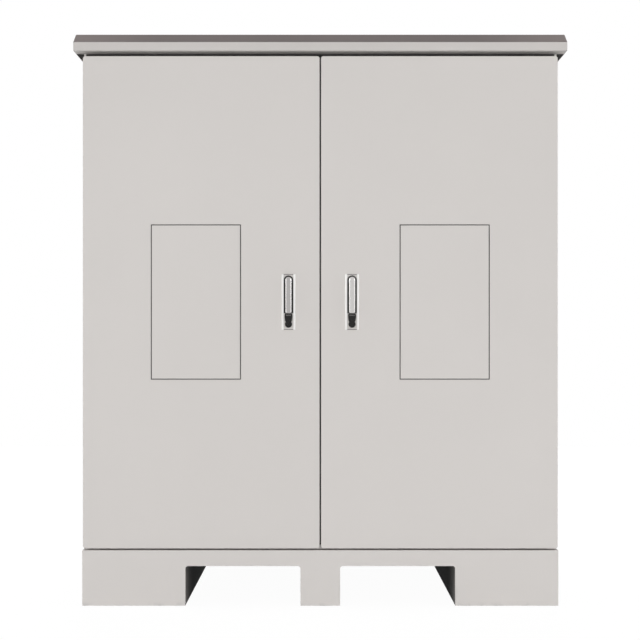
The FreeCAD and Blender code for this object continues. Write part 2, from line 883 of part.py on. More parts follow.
# Hinges hidden behind the door's outer edge
hinge_x = -half_width + s.hinge_inset
hinge_y = front + s.hinge_setback
hinge_levels = [
    door_bottom + s.hinge_end_inset,
    (door_bottom + door_top) / 2,
    door_top - s.hinge_end_inset,
]
knuckle_bore = s.hinge_pin_radius + s.hinge_running_fit
middle_half = s.hinge_middle_knuckle / 2
outer_start = middle_half + s.hinge_knuckle_gap
outer_end = s.hinge_height / 2


def hinge_frame_leaf(name, level):
    """Middle knuckle with a cranked arm round the door's edge to the frame post."""
    leaf = new_body(name)
    z_ends = (level - middle_half, level + middle_half)
    arm_front = hinge_y - 2 * s.hinge_arm_sheet
    arm_end = hinge_x + s.hinge_arm_reach
    pad(leaf, "XY", [circle(hinge_x, hinge_y, s.hinge_knuckle_radius)], z_ends)
    arm = [
        (hinge_x, arm_front),
        (arm_end, arm_front),
        (arm_end, frame_front - s.hinge_arm_sheet),
        (arm_end + s.hinge_foot, frame_front - s.hinge_arm_sheet),
        (arm_end + s.hinge_foot, frame_front),
        (arm_end - s.hinge_arm_sheet, frame_front),
        (arm_end - s.hinge_arm_sheet, arm_front + s.hinge_arm_sheet),
        (hinge_x, arm_front + s.hinge_arm_sheet),
    ]
    pad(leaf, "XY", [arm], z_ends)
    pocket(leaf, "XY", [circle(hinge_x, hinge_y, knuckle_bore)], z_ends)
    return leaf


def hinge_door_leaf(name, level):
    """Upper and lower knuckles on a plate that is fixed to the back of the door skin."""
    leaf = new_body(name)
    plate_back = skin_back + s.hinge_leaf_sheet
    plate_outer = -door_outer_x + s.door_sheet
    z_ends = (level - outer_end, level + outer_end)
    plate = rectangle((plate_outer, plate_outer + s.hinge_leaf_width), (skin_back, plate_back))
    pad(leaf, "XY", [plate], z_ends)
    for z_pair in ((level - outer_end, level - outer_start), (level + outer_start, level + outer_end)):
        root = rectangle(around(hinge_x, 2 * s.hinge_pin_radius), (plate_back, hinge_y))
        pad(leaf, "XY", [root], z_pair)
        pad(leaf, "XY", [circle(hinge_x, hinge_y, s.hinge_knuckle_radius)], z_pair)
        pocket(leaf, "XY", [circle(hinge_x, hinge_y, knuckle_bore)], z_pair)
    return leaf


left_frame_leaves = []
left_door_leaves = []
left_pins = []
for k, level in enumerate(hinge_levels):
    left_frame_leaves.append(hinge_frame_leaf(f"left_frame_leaf_{k}", level))
    left_door_leaves.append(hinge_door_leaf(f"left_door_leaf_{k}", level))
    pin_ends = (level - outer_end, level + outer_end)
    left_pins.append(cylinder(f"left_hinge_pin_{k}", "z", (hinge_x, hinge_y), s.hinge_pin_radius, pin_ends))
left_frame_hinges = group("left_frame_leaves", left_frame_leaves)
group("hinge_frame_leaves", [left_frame_hinges, mirrored("right_frame_leaves", left_frame_hinges)])
left_hinge_pins = group("left_hinge_pins", left_pins)
group("hinge_pins", [left_hinge_pins, mirrored("right_hinge_pins", left_hinge_pins)])
left_door_hinges = group("left_hinge_leaves", left_door_leaves)
mirrored("right_hinge_leaves", left_door_hinges)


# Swing handle: escutcheon with a recess, spindle, lever and its pin
handle_x = -s.handle_centre
rim = front - s.escutcheon_proud
recess_floor = rim + s.groove_depth
boss_back = front + s.boss_depth
pivot_z = s.handle_height + s.pivot_height
plug_z = s.handle_height - s.plug_drop
cover_pivot_z = s.handle_height - s.cover_pivot_drop
pivot_y = rim - s.lever_clearance - s.lever_thickness / 2

escutcheon = new_body("left_escutcheon")
plate_ends = around(handle_x, s.escutcheon_width), around(s.handle_height, s.escutcheon_height)
boss_ends = around(handle_x, s.boss_width), around(s.handle_height, s.boss_height)
groove_u = around(handle_x, s.groove_width)
groove_z = around(s.handle_height, s.groove_height)
inner_groove_z = around(s.handle_height, s.boss_height - s.escutcheon_proud)
pad(escutcheon, "XZ", [rectangle(*plate_ends, s.escutcheon_radius)], (rim, front))
pad(escutcheon, "XZ", [rectangle(*boss_ends, s.boss_radius)], (front, boss_back))
pocket(escutcheon, "XZ", [rectangle(groove_u, groove_z, s.groove_radius)], (rim, front))
pocket(escutcheon, "XZ", [rectangle(groove_u, inner_groove_z, s.groove_radius)], (front, recess_floor))
cover_back = rim - s.face_gap
pad(escutcheon, "XZ", [circle(handle_x, cover_pivot_z, s.cover_pillar_radius)], (rim, recess_floor))
pad(escutcheon, "XZ", [circle(handle_x, plug_z, s.plug_barrel_radius)], (rim + s.face_gap, recess_floor))
escutcheon_bores = [
    circle(handle_x, pivot_z, s.spindle_radius + s.running_fit),
    circle(handle_x, plug_z, s.plug_radius + s.running_fit),
    circle(handle_x, cover_pivot_z, s.cover_pin_radius + s.running_fit),
]
pocket(escutcheon, "XZ", escutcheon_bores, (rim, boss_back))
mirrored("right_escutcheon", escutcheon)

# Pinion on the spindle's inner end: one tooth drawn, the rest set round it
pitch_radius = s.rod_travel * 2 / math.pi
tip_radius = pitch_radius + s.tooth_tip
root_radius = pitch_radius - s.tooth_root
pinion_front = rod_y - s.pinion_width / 2
pinion_back = rod_y + s.pinion_width / 2
spindle_front = recess_floor - s.spindle_head - s.face_gap

shaft = new_body("left_spindle_shaft")
pad(shaft, "XZ", [circle(handle_x, pivot_z, s.spindle_radius)], (recess_floor - s.face_gap, pinion_back))
head_ends = (spindle_front, recess_floor - s.face_gap)
pad(shaft, "XZ", [circle(handle_x, pivot_z, s.spindle_head_radius)], head_ends)
tongue = rectangle((pivot_y, spindle_front), around(pivot_z, 2 * s.tongue_radius))
pad(shaft, "YZ", [tongue], around(handle_x, s.tongue_width))
pad(shaft, "YZ", [circle(pivot_y, pivot_z, s.tongue_radius)], around(handle_x, s.tongue_width))
pin_bore = circle(pivot_y, pivot_z, s.lever_pin_radius + s.running_fit)
pocket(shaft, "YZ", [pin_bore], around(handle_x, s.tongue_width))

pinion = new_body("left_pinion")
pinion_ends = around(0, s.pinion_width)
pad(pinion, "XZ", [circle(0, 0, root_radius)], pinion_ends)
tooth = [
    (root_radius * 3 / 4, -s.tooth_half_thickness - s.tooth_taper),
    (tip_radius, -s.tooth_half_thickness + s.tooth_taper),
    (tip_radius, s.tooth_half_thickness - s.tooth_taper),
    (root_radius * 3 / 4, s.tooth_half_thickness + s.tooth_taper),
]
tooth_pad = pad(pinion, "XZ", [tooth], pinion_ends)
ring_of_teeth = pinion.newObject("PartDesign::PolarPattern", "left_pinion_teeth")
ring_of_teeth.Originals = [tooth_pad]
y_axis = next(o for o in pinion.Origin.OriginFeatures if o.Role == "Y_Axis")
ring_of_teeth.Axis = (y_axis, [""])
ring_of_teeth.setExpression("Occurrences", s.pinion_teeth.formula)
pinion.Tip = ring_of_teeth
place_at(pinion, handle_x, rod_y, pivot_z)
spindle = fused("left_spindle", [shaft, pinion])
mirrored("right_spindle", spindle)

lever = new_body("left_lever")
lever_back = rim - s.lever_clearance
lever_front = lever_back - s.lever_thickness
lever_low = s.handle_height - s.lever_bottom
lever_high = s.handle_height + s.lever_top
lever_half = s.lever_width / 2
lever_outline = [
    (handle_x - lever_half, lever_low, s.lever_foot_radius),
    (handle_x + lever_half, lever_low, s.lever_foot_radius),
    (handle_x + lever_half, lever_high, s.lever_end_radius),
    (handle_x - lever_half, lever_high, s.lever_end_radius),
]
pad(lever, "XZ", [lever_outline], (lever_front, lever_back))
slot_z = (pivot_z - s.lever_slot_below, pivot_z + s.lever_slot_above)
slot = rectangle(around(handle_x, s.lever_slot_width), slot_z)
pocket(lever, "XZ", [slot], (lever_front + s.lever_front_wall, lever_back))
pocket(lever, "YZ", [circle(pivot_y, pivot_z, s.lever_pin_radius)], around(handle_x, s.lever_width))
mirrored("right_lever", lever)

lever_pin_ends = around(handle_x, s.lever_pin_length)
lever_pin = cylinder("left_lever_pin", "x", (pivot_y, pivot_z), s.lever_pin_radius, lever_pin_ends)
mirrored("right_lever_pin", lever_pin)


# Key plug and the dust cover that swings over it
plug = new_body("left_key_plug")
plug_front = rim + s.face_gap
pad(plug, "XZ", [circle(handle_x, plug_z, s.plug_radius)], (plug_front, boss_back + s.guide_wall))
keyway = rectangle(around(handle_x, s.keyway_width), around(plug_z, s.keyway_height))
pocket(plug, "XZ", [keyway], (plug_front, plug_front + s.keyway_depth))
mirrored("right_key_plug", plug)

cover = new_body("left_dust_cover")
cover_front = cover_back - s.cover_thickness
cover_top = lever_low - s.cover_top_gap
cover_outline = [
    (handle_x - s.cover_top_half_width, cover_top),
    (handle_x - s.cover_half_width, s.handle_height - s.cover_corner_drop),
    (handle_x - s.cover_half_width, s.handle_height - s.cover_shoulder_drop),
    (handle_x - s.cover_neck_half_width, s.handle_height - s.cover_neck_drop),
    (handle_x - s.cover_neck_half_width, cover_pivot_z),
    (handle_x + s.cover_neck_half_width, cover_pivot_z),
    (handle_x + s.cover_neck_half_width, s.handle_height - s.cover_neck_drop),
    (handle_x + s.cover_half_width, s.handle_height - s.cover_shoulder_drop),
    (handle_x + s.cover_half_width, s.handle_height - s.cover_corner_drop),
    (handle_x + s.cover_top_half_width, cover_top),
]
pad(cover, "XZ", [cover_outline], (cover_front, cover_back))
pad(cover, "XZ", [circle(handle_x, cover_pivot_z, s.cover_end_radius)], (cover_front, cover_back))
pad(cover, "XZ", [circle(handle_x, cover_pivot_z, s.cover_pin_radius)], (cover_back, recess_floor))
mirrored("right_dust_cover", cover)


# Lock rods: each has a toothed rack beside the pinion and a round end towards its rail
tooth_pitch = 2 * math.pi * pitch_radius / s.pinion_teeth


def rack_outline(pitch_x, outward, z_ends, tooth_places):
    """Side view of a rack: a plain back and a row of teeth facing the pinion."""
    back_x = pitch_x + outward * (s.tooth_root + s.rack_back)
    root_x = pitch_x + outward * s.tooth_root
    tip_x = pitch_x - outward * s.tooth_tip
    corners = [(back_x, z_ends[0]), (root_x, z_ends[0])]
    for z in tooth_places:
        corners += [
            (root_x, z - s.tooth_half_thickness - s.tooth_taper),
            (tip_x, z - s.tooth_half_thickness + s.tooth_taper),
            (tip_x, z + s.tooth_half_thickness - s.tooth_taper),
            (root_x, z + s.tooth_half_thickness + s.tooth_taper),
        ]
    return corners + [(root_x, z_ends[1]), (back_x, z_ends[1])]


def lock_rod(name, outward, upwards, rod_end):
    """Outward is the side of the pinion, upwards the way that the rod points."""
    pitch_x = handle_x + outward * pitch_radius
    rod_x = pitch_x + outward * (s.tooth_root + s.rack_back / 2)
    places = sorted((upwards * (k + 0.5) for k in (-2, -1, 0, 1, 2, 3)))
    teeth = [pivot_z + tooth_pitch * k for k in places]
    near = pivot_z - upwards * tooth_pitch * 2.2
    far = pivot_z + upwards * tooth_pitch * 4.2
    rod = new_body(name)
    z_ends = (near, far) if upwards > 0 else (far, near)
    pad(rod, "XZ", [rack_outline(pitch_x, outward, z_ends, teeth)], (pinion_front, pinion_back))
    overlap = far - upwards * tooth_pitch
    rod_ends = (overlap, rod_end) if upwards > 0 else (rod_end, overlap)
    pad(rod, "XY", [circle(rod_x, rod_y, s.rod_radius)], rod_ends)
    return rod


upper_rod = lock_rod("left_upper_rod", 1, 1, top_rail_bottom - s.rod_end_gap)
lower_rod = lock_rod("left_lower_rod", -1, -1, bottom_rail_top + s.rod_end_gap)
mirrored("right_upper_rod", upper_rod)
mirrored("right_lower_rod", lower_rod)


def rod_guide(name, rod_x, level):
    """Bracket on the door skin with an eye round the rod."""
    guide = new_body(name)
    eye_radius = s.rod_radius + s.guide_wall
    foot_back = skin_back + s.guide_foot_sheet
    z_ends = around(level, s.guide_height)
    foot = rectangle(around(rod_x, s.guide_foot), around(level, s.guide_foot_height))
    pad(guide, "XZ", [foot], (skin_back, foot_back))
    pad(guide, "XY", [rectangle(around(rod_x, s.guide_wall), (foot_back, rod_y))], z_ends)
    pad(guide, "XY", [circle(rod_x, rod_y, eye_radius)], z_ends)
    pocket(guide, "XY", [circle(rod_x, rod_y, s.rod_radius + s.running_fit)], z_ends)
    return guide


guide_levels = [
    (-upper_rod_x, door_top - s.guide_end_inset),
    (-upper_rod_x, door_top - s.guide_middle_inset),
    (-lower_rod_x, door_bottom + s.guide_middle_inset),
    (-lower_rod_x, door_bottom + s.guide_end_inset),
]
left_guides = group(
    "left_rod_guides", [rod_guide(f"left_rod_guide_{k}", x, z) for k, (x, z) in enumerate(guide_levels)]
)
mirrored("right_rod_guides", left_guides)


# Racks: four posts in each bay, and a pair of angles under each battery module
rack_front = front + s.rack_front_setback
rack_back = back - s.rack_rear_inset
bay_x = -bay_centre
opening_half = (post_opening - s.mullion_half_width) / 2 - s.rack_side_room
module_base = floor_top + s.module_floor_gap
module_pitch = (s.door_height - s.module_headroom) / s.module_count


def rack_post(name, side, y, depth_way):
    face_x = bay_x + side * opening_half
    far_x = face_x + side * s.rack_post_width
    inner_x = face_x + side * s.rack_post_sheet
    outline = [
        (face_x, y),
        (far_x, y),
        (far_x, y + depth_way * s.rack_post_sheet),
        (inner_x, y + depth_way * s.rack_post_sheet),
        (inner_x, y + depth_way * s.rack_post_depth),
        (face_x, y + depth_way * s.rack_post_depth),
    ]
    return extruded(name, "XY", [outline], (floor_top, ceiling_bottom))


left_rack = [
    rack_post(f"left_rack_post_{k}", side, y, way)
    for k, (side, y, way) in enumerate(
        ((-1, rack_front, 1), (1, rack_front, 1), (-1, rack_back, -1), (1, rack_back, -1))
    )
]
left_rack_group = group("left_rack_posts", left_rack)
group("rack_posts", [left_rack_group, mirrored("right_rack_posts", left_rack_group)])


def support_angle(name, side):
    face_x = bay_x + side * opening_half
    outline = [
        (face_x, module_base - s.angle_sheet),
        (face_x, module_base + s.angle_leg),
        (face_x - side * s.angle_sheet, module_base + s.angle_leg),
        (face_x - side * s.angle_sheet, module_base),
        (face_x - side * s.angle_leg, module_base),
        (face_x - side * s.angle_leg, module_base - s.angle_sheet),
    ]
    return extruded(name, "XZ", [outline], (rack_front, rack_back))


angle_pair = group("angle_pair", [support_angle("outer_angle", -1), support_angle("inner_angle", 1)])


def stacked(name, source):
    """One copy of a piece for each battery module in the bay."""
    return group(
        name,
        [
            moved_copy(f"{name}_{k}", source, z=k * module_pitch)
            for k in range(DRIVING_SIZES["module_count"])
        ],
    )


left_angles = stacked("left_support_angles", angle_pair)
group("support_angles", [left_angles, mirrored("right_support_angles", left_angles)])

module = new_body("battery_module")
module_top = module_base + module_pitch - s.module_case_top_gap
module_mid = (module_base + module_top) / 2
face_front = rack_front - s.module_face_sheet
case_x = around(bay_x, 2 * (opening_half - s.module_case_side_gap))
face_x = around(bay_x, 2 * (opening_half + s.module_face_lap))
face_z = around(module_mid, module_pitch - s.module_face_gap)
case_ends = (rack_front, rack_front + s.module_case_depth)
pad(module, "XZ", [rectangle(case_x, (module_base, module_top))], case_ends)
pad(module, "XZ", [rectangle(face_x, face_z)], (face_front, rack_front))
left_modules = stacked("left_battery_modules", module)
mirrored("right_battery_modules", left_modules)


def module_grip(name, side):
    """Bent handle on the module's front."""
    grip_front = face_front - s.grip_reach
    low, high = around(module_mid, s.grip_height)
    outline = [
        (face_front, low),
        (face_front, low + s.grip_section),
        (grip_front + s.grip_section, low + s.grip_section),
        (grip_front + s.grip_section, high - s.grip_section),
        (face_front, high - s.grip_section),
        (face_front, high),
        (grip_front, high, s.grip_radius),
        (grip_front, low, s.grip_radius),
    ]
    grip_x = bay_x + side * (opening_half - s.grip_inset)
    return extruded(name, "YZ", [outline], around(grip_x, s.grip_section))


grip_pair = group("grip_pair", [module_grip("outer_grip", -1), module_grip("inner_grip", 1)])
left_grips = stacked("left_battery_handles", grip_pair)
group("battery_handles", [left_grips, mirrored("right_battery_handles", left_grips)])


# Busbars bolted straight to the modules' terminals, up to the breaker
terminal_front = face_front - s.terminal_length
bar_front = terminal_front - s.busbar_sheet
breaker_panel_low = module_base + s.module_count * module_pitch + s.breaker_panel_gap
breaker_mid = breaker_panel_low + s.breaker_panel_height / 2
breaker_low = breaker_mid - s.breaker_height / 2


def busbar(name, side):
    """Flat copper bar with a terminal stud behind it at every module."""
    bar_x = bay_x + side * s.busbar_offset
    bar = new_body(name)
    low = module_mid - s.busbar_width
    bar_outline = rectangle(around(bar_x, s.busbar_width), (low, breaker_low))
    pad(bar, "XZ", [bar_outline], (bar_front, terminal_front))
    levels = [module_mid + k * module_pitch for k in range(DRIVING_SIZES["module_count"])]
    studs = [circle(bar_x, level, s.terminal_radius) for level in levels]
    pad(bar, "XZ", studs, (terminal_front, face_front))
    return bar


for bar_name, side in (("positive_busbars", -1), ("negative_busbars", 1)):
    left_bar = busbar(f"left_{bar_name}", side)
    group(bar_name, [left_bar, mirrored(f"right_{bar_name}", left_bar)])


# Breakers, each in its own panel above the modules
breaker_front = face_front - s.breaker_proud
breaker_u = around(bay_x, s.breaker_width)
breaker_v = around(breaker_mid, s.breaker_height)
panel_outline = rectangle(face_x, around(breaker_mid, s.breaker_panel_height))
left_breaker_panel = extruded(
    "left_breaker_panel", "XZ", [panel_outline, rectangle(breaker_u, breaker_v)], (face_front, rack_front)
)
group("breaker_panels", [left_breaker_panel, mirrored("right_breaker_panel", left_breaker_panel)])

breaker = new_body("left_breaker")
pad(breaker, "XZ", [rectangle(breaker_u, breaker_v)], (breaker_front, breaker_front + s.breaker_depth))
slot_outline = rectangle(around(bay_x, s.breaker_slot_width), around(breaker_mid, s.breaker_slot_height))
pocket(breaker, "XZ", [slot_outline], (breaker_front, breaker_front + s.breaker_slot_depth))
toggle_y = breaker_front + s.toggle_setback
axle_bore = circle(toggle_y, breaker_mid, s.toggle_axle_radius + s.running_fit)
pocket(breaker, "YZ", [axle_bore], around(bay_x, s.breaker_slot_width + 2 * s.toggle_half_thickness))
group("breaker_bodies", [breaker, mirrored("right_breaker", breaker)])

toggle = new_body("left_breaker_toggle")
toggle_x = around(bay_x, s.toggle_width)
pad(toggle, "YZ", [circle(toggle_y, breaker_mid, s.toggle_barrel_radius)], toggle_x)
toggle_tip_y = toggle_y - s.toggle_reach
toggle_outline = [
    (toggle_y, breaker_mid - s.toggle_half_thickness),
    (toggle_y, breaker_mid + s.toggle_half_thickness),
    (toggle_tip_y, breaker_mid + s.toggle_rise + s.toggle_half_thickness),
    (toggle_tip_y, breaker_mid + s.toggle_rise - s.toggle_half_thickness),
]
pad(toggle, "YZ", [toggle_outline], toggle_x)
axle_ends = around(bay_x, s.breaker_slot_width + s.toggle_half_thickness)
pad(toggle, "YZ", [circle(toggle_y, breaker_mid, s.toggle_axle_radius)], axle_ends)
mirrored("right_breaker_toggle", toggle)


# Fans that blow out of the top of each bay into the roof
fan_bottom = ceiling_bottom - s.fan_thickness
fan_plate = rectangle(around(bay_x, s.fan_width), around(fan_y, s.fan_width), s.fan_corner_radius)
housing = new_body("left_fan_housing")
pad(housing, "XY", [fan_plate], (fan_bottom, ceiling_bottom))
pocket(housing, "XY", [circle(bay_x, fan_y, s.fan_bore_radius)], (fan_bottom, ceiling_bottom))
strut_ends = (fan_bottom, fan_bottom + s.fan_strut_sheet)
strut_span = 2 * s.fan_bore_radius + s.fan_strut_sheet
for u_width, v_width in ((strut_span, s.fan_strut_width), (s.fan_strut_width, strut_span)):
    pad(housing, "XY", [rectangle(around(bay_x, u_width), around(fan_y, v_width))], strut_ends)
motor_top = fan_bottom + s.fan_motor_height
pad(housing, "XY", [circle(bay_x, fan_y, s.fan_motor_radius)], (fan_bottom, motor_top))
group("fan_housings", [housing, mirrored("right_fan_housing", housing)])

rotor = new_body("left_fan_rotor")
hub_bottom = motor_top + s.face_gap
pad(rotor, "XY", [circle(0, 0, s.fan_hub_radius)], (0, s.fan_hub_height))
blade_half = s.fan_blade_chord / 2
blade_low = (s.fan_hub_height - s.fan_blade_rise) / 2
blade = [
    (-blade_half, blade_low),
    (blade_half, blade_low + s.fan_blade_rise - s.fan_blade_sheet),
    (blade_half, blade_low + s.fan_blade_rise),
    (-blade_half, blade_low + s.fan_blade_sheet),
]
blade_pad = pad(rotor, "YZ", [blade], (s.fan_hub_radius * 3 / 4, s.fan_blade_tip - s.face_gap))
blade_ring = rotor.newObject("PartDesign::PolarPattern", "left_fan_blades")
blade_ring.Originals = [blade_pad]
z_axis = next(o for o in rotor.Origin.OriginFeatures if o.Role == "Z_Axis")
blade_ring.Axis = (z_axis, [""])
blade_ring.setExpression("Occurrences", s.fan_blade_count.formula)
rotor.Tip = blade_ring
place_at(rotor, bay_x, fan_y, hub_bottom)
mirrored("right_fan_rotor", rotor)


SIDED_NODES = [
    "side_wall",
    "door",
    "seal_channel",
    "gasket",
    "blanking_panel",
    "panel_nuts",
    "hinge_leaves",
    "escutcheon",
    "spindle",
    "lever",
    "lever_pin",
    "key_plug",
    "dust_cover",
    "upper_rod",
    "lower_rod",
    "rod_guides",
    "battery_modules",
    "breaker_toggle",
    "fan_rotor",
]
SHARED_NODES = [
    "base_front_beam",
    "base_rear_beam",
    "base_side_beams",
    "fork_tunnels",
    "floor_plate",
    "cable_entry_plate",
    "rear_wall",
    "ceiling_plate",
    "door_frame_posts",
    "door_frame_rails",
    "roof_cap",
    "roof_screws",
    "hinge_frame_leaves",
    "hinge_pins",
    "rack_posts",
    "support_angles",
    "battery_handles",
    "positive_busbars",
    "negative_busbars",
    "breaker_panels",
    "breaker_bodies",
    "fan_housings",
]
node_names = SHARED_NODES + [f"{side}_{name}" for name in SIDED_NODES for side in ("left", "right")]

doc.recompute()

# Every feature must have been made, and every cut must have taken something away
for item in doc.Objects:
    if {"Invalid", "Error"} & set(item.State):
        raise RuntimeError(f"{item.Label} is {item.State}")
    if item.TypeId == "PartDesign::Pocket" and item.Shape.Volume > item.BaseFeature.Shape.Volume - 0.01:
        raise RuntimeError(f"{item.Label} cuts nothing")

os.makedirs("parts", exist_ok=True)
for name in node_names:
    piece = doc.getObjectsByLabel(name)[0]
    if piece.Shape.isNull() or not piece.Shape.isValid():
        raise RuntimeError(f"{name} has no sound shape")
    piece.Shape.exportStep(f"parts/{name}.step")
print(len(node_names), "pieces written")
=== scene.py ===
import math

import bmesh
import bpy
from mathutils import Matrix, Vector


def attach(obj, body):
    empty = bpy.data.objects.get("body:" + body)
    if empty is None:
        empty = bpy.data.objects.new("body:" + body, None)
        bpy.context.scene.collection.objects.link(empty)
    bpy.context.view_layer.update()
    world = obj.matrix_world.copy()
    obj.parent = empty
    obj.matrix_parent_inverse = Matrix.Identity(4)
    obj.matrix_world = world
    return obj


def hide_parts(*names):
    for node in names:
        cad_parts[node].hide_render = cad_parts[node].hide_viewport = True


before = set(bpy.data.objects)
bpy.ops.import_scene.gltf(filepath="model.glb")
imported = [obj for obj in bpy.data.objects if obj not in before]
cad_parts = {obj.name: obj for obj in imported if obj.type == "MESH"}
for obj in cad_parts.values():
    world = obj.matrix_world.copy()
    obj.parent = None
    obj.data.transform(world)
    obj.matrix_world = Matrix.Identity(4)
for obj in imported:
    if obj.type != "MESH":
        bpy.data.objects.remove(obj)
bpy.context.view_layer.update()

# BASE
# A welded ring of 3 mm folded steel: front and rear beams, two side beams and the two fork tunnels,
# powder coated in one with the cabinet. The paint is scuffed where forks and pallets rub it.


class Wire:
    """One socket of a finish's shader. Sums, differences and products of wires become Math nodes."""

    def __init__(self, tree, socket=None):
        self.tree = tree
        self.socket = socket

    def add(self, kind, settings=None, values=None, output=0):
        """Adds a node, sets it up, feeds its sockets with numbers or wires and returns one output."""
        node = self.tree.nodes.new("ShaderNode" + kind)
        for name, setting in (settings or {}).items():
            setattr(node, name, setting)
        for name, value in (values or {}).items():
            if isinstance(value, Wire):
                self.tree.links.new(value.socket, node.inputs[name])
            else:
                node.inputs[name].default_value = value
        return Wire(self.tree, node.outputs[output])

    def maths(self, operation, *others):
        """A Math node on this value and the others."""
        return self.add("Math", {"operation": operation}, dict(enumerate((self, *others))))

    def __add__(self, other):
        return self.maths("ADD", other)

    def __sub__(self, other):
        return self.maths("SUBTRACT", other)

    def __rsub__(self, other):
        return self.maths("MULTIPLY_ADD", -1.0, other)

    def __mul__(self, other):
        return self.maths("MULTIPLY", other)

    __radd__ = __add__
    __rmul__ = __mul__

    def noise(self, scale, detail=2.0):
        """A soft cloud from 0 to 1; the scale is in lumps a metre."""
        return self.add("TexNoise", None, {"Vector": self, "Scale": scale, "Detail": detail})

    def part(self, axis):
        """One coordinate of a place."""
        return self.add("SeparateXYZ", None, {"Vector": self}, axis)

    def rise(self, low, high):
        """A mask that climbs from 0 at low to 1 at high, and stays there."""
        return self.add("MapRange", None, {"Value": self, "From Min": low, "From Max": high})

    def between(self, low, high):
        """The colour that this mask gives: low where it is 0 and high where it is 1."""
        return self.add("Mix", {"data_type": "RGBA"}, {0: self, 6: low, 7: high}, 2)

    def relief(self, depth, strength=1.0):
        """The surface normal that this height gives; depth is in metres."""
        return self.add("Bump", None, {"Height": self, "Distance": depth, "Strength": strength})


def shade(red, green, blue, factor=1.0):
    """A colour, made darker or lighter by the factor."""
    return (red * factor, green * factor, blue * factor, 1.0)


def new_finish(name):
    """A material and the wire that carries a place on the piece, in metres."""
    material = bpy.data.materials.new(name)
    material.use_nodes = True
    return material, Wire(material.node_tree).add("TexCoord", None, None, "Object")


def lay_on(material, sockets):
    """Gives a material's shader its numbers, colours and wires."""
    shader = material.node_tree.nodes["Principled BSDF"]
    for name, value in sockets.items():
        if isinstance(value, Wire):
            material.node_tree.links.new(value.socket, shader.inputs[name])
        else:
            shader.inputs[name].default_value = value
    return material


PAINT = (0.632, 0.606, 0.586)
RUBBED = shade(0.34, 0.335, 0.33)


def orange_peel(place):
    """The fine ripple of powder coat."""
    ripple = place.noise(950.0, 2.0) + place.noise(210.0, 1.0) * 0.6
    return ripple.relief(0.00006, 0.35)


def paint(name, rub=None):
    """Fine-textured powder coat. rub makes a mask, from the place, of where the coat is rubbed."""
    material, place = new_finish(name)
    cloud = place.noise(1.7, 3.0)
    speck = place.noise(620.0, 1.0)
    mottle = (cloud * 0.7 + speck * 0.3).rise(0.3, 0.7)
    coat = mottle.between(shade(*PAINT, 0.975), shade(*PAINT, 1.02))
    gloss = 0.46 + cloud * 0.12
    if rub:
        smear = rub(place) * place.noise(34.0, 6.0).rise(0.56, 0.66)
        coat = (smear * 0.3).between(coat, RUBBED)
        gloss = gloss - smear * 0.12
    return lay_on(
        material,
        {
            "Base Color": coat,
            "Roughness": gloss,
            "Specular IOR Level": 0.3,
            "Normal": orange_peel(place),
        },
    )


def hold(piece):
    """Makes one piece the only selected and the active one."""
    if bpy.context.mode != "OBJECT":
        bpy.ops.object.mode_set(mode="OBJECT")
    bpy.ops.object.select_all(action="DESELECT")
    piece.select_set(True)
    bpy.context.view_layer.objects.active = piece


def copied_from(node, name):
    """A new piece with the merged mesh of a CAD node, ready to be worked on."""
    piece = bpy.data.objects.new(name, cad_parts[node].data.copy())
    bpy.context.scene.collection.objects.link(piece)
    hold(piece)
    bpy.ops.object.mode_set(mode="EDIT")
    bpy.ops.mesh.select_all(action="SELECT")
    bpy.ops.mesh.remove_doubles(threshold=0.00002)
    bpy.ops.mesh.dissolve_limited(angle_limit=math.radians(1))
    bpy.ops.object.mode_set(mode="OBJECT")
    bpy.ops.mesh.customdata_custom_splitnormals_clear()
    return piece


def shaped_by(piece, kind, **settings):
    """Adds a modifier to a piece and applies it."""
    hold(piece)
    modifier = piece.modifiers.new(kind.lower(), kind)
    for name, value in settings.items():
        setattr(modifier, name, value)
    bpy.ops.object.modifier_apply(modifier=modifier.name)


def soften(piece, width, segments=2, angle=32):
    """Rounds every edge that is sharper than the angle, and keeps the flat faces flat."""
    shaped_by(
        piece,
        "BEVEL",
        width=width,
        segments=segments,
        limit_method="ANGLE",
        angle_limit=math.radians(angle),
    )
    bpy.ops.object.shade_smooth_by_angle(angle=math.radians(52))
    shaped_by(piece, "WEIGHTED_NORMAL", keep_sharp=True)


def fit(piece, body, slot, finish, *nodes):
    """Gives a finished piece its finish and its body, and hides the CAD nodes that it stands for."""
    hold(piece)
    piece.data.materials.clear()
    piece.data.materials.append(finish)
    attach(piece, body)
    if nodes:
        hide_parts(*nodes)


def refit(node, name, body, slot, finish, width, segments=2, angle=32):
    """Takes the place of a CAD node with a copy that has rounded edges and a finish."""
    piece = copied_from(node, name)
    soften(piece, width, segments, angle)
    fit(piece, body, slot, finish, node)


pocket_mid = 0.195
pocket_half = 0.146
pocket_high = 0.1
half_depth = 0.4


def beside_pocket(place):
    """1 close round the mouths of the two fork pockets."""
    off_middle = (place.part("X").maths("ABSOLUTE") - pocket_mid).maths("ABSOLUTE")
    beyond_side = off_middle.rise(pocket_half, pocket_half + 0.006)
    above = place.part("Z").rise(pocket_high, pocket_high + 0.008)
    return (1 - beyond_side) * (1 - above)


def rubbed(place):
    """1 along the ground and half of that beside the pockets."""
    near_ground = 1 - place.part("Z").rise(0.0, 0.01)
    return near_ground.maths("MAXIMUM", beside_pocket(place) * 0.5)


base_paint = paint("base paint", rubbed)
for node in ("base_front_beam", "base_rear_beam", "base_side_beams"):
    refit(node, node + "_painted", "root", "cabinet_paint", base_paint, 0.0009, 3)


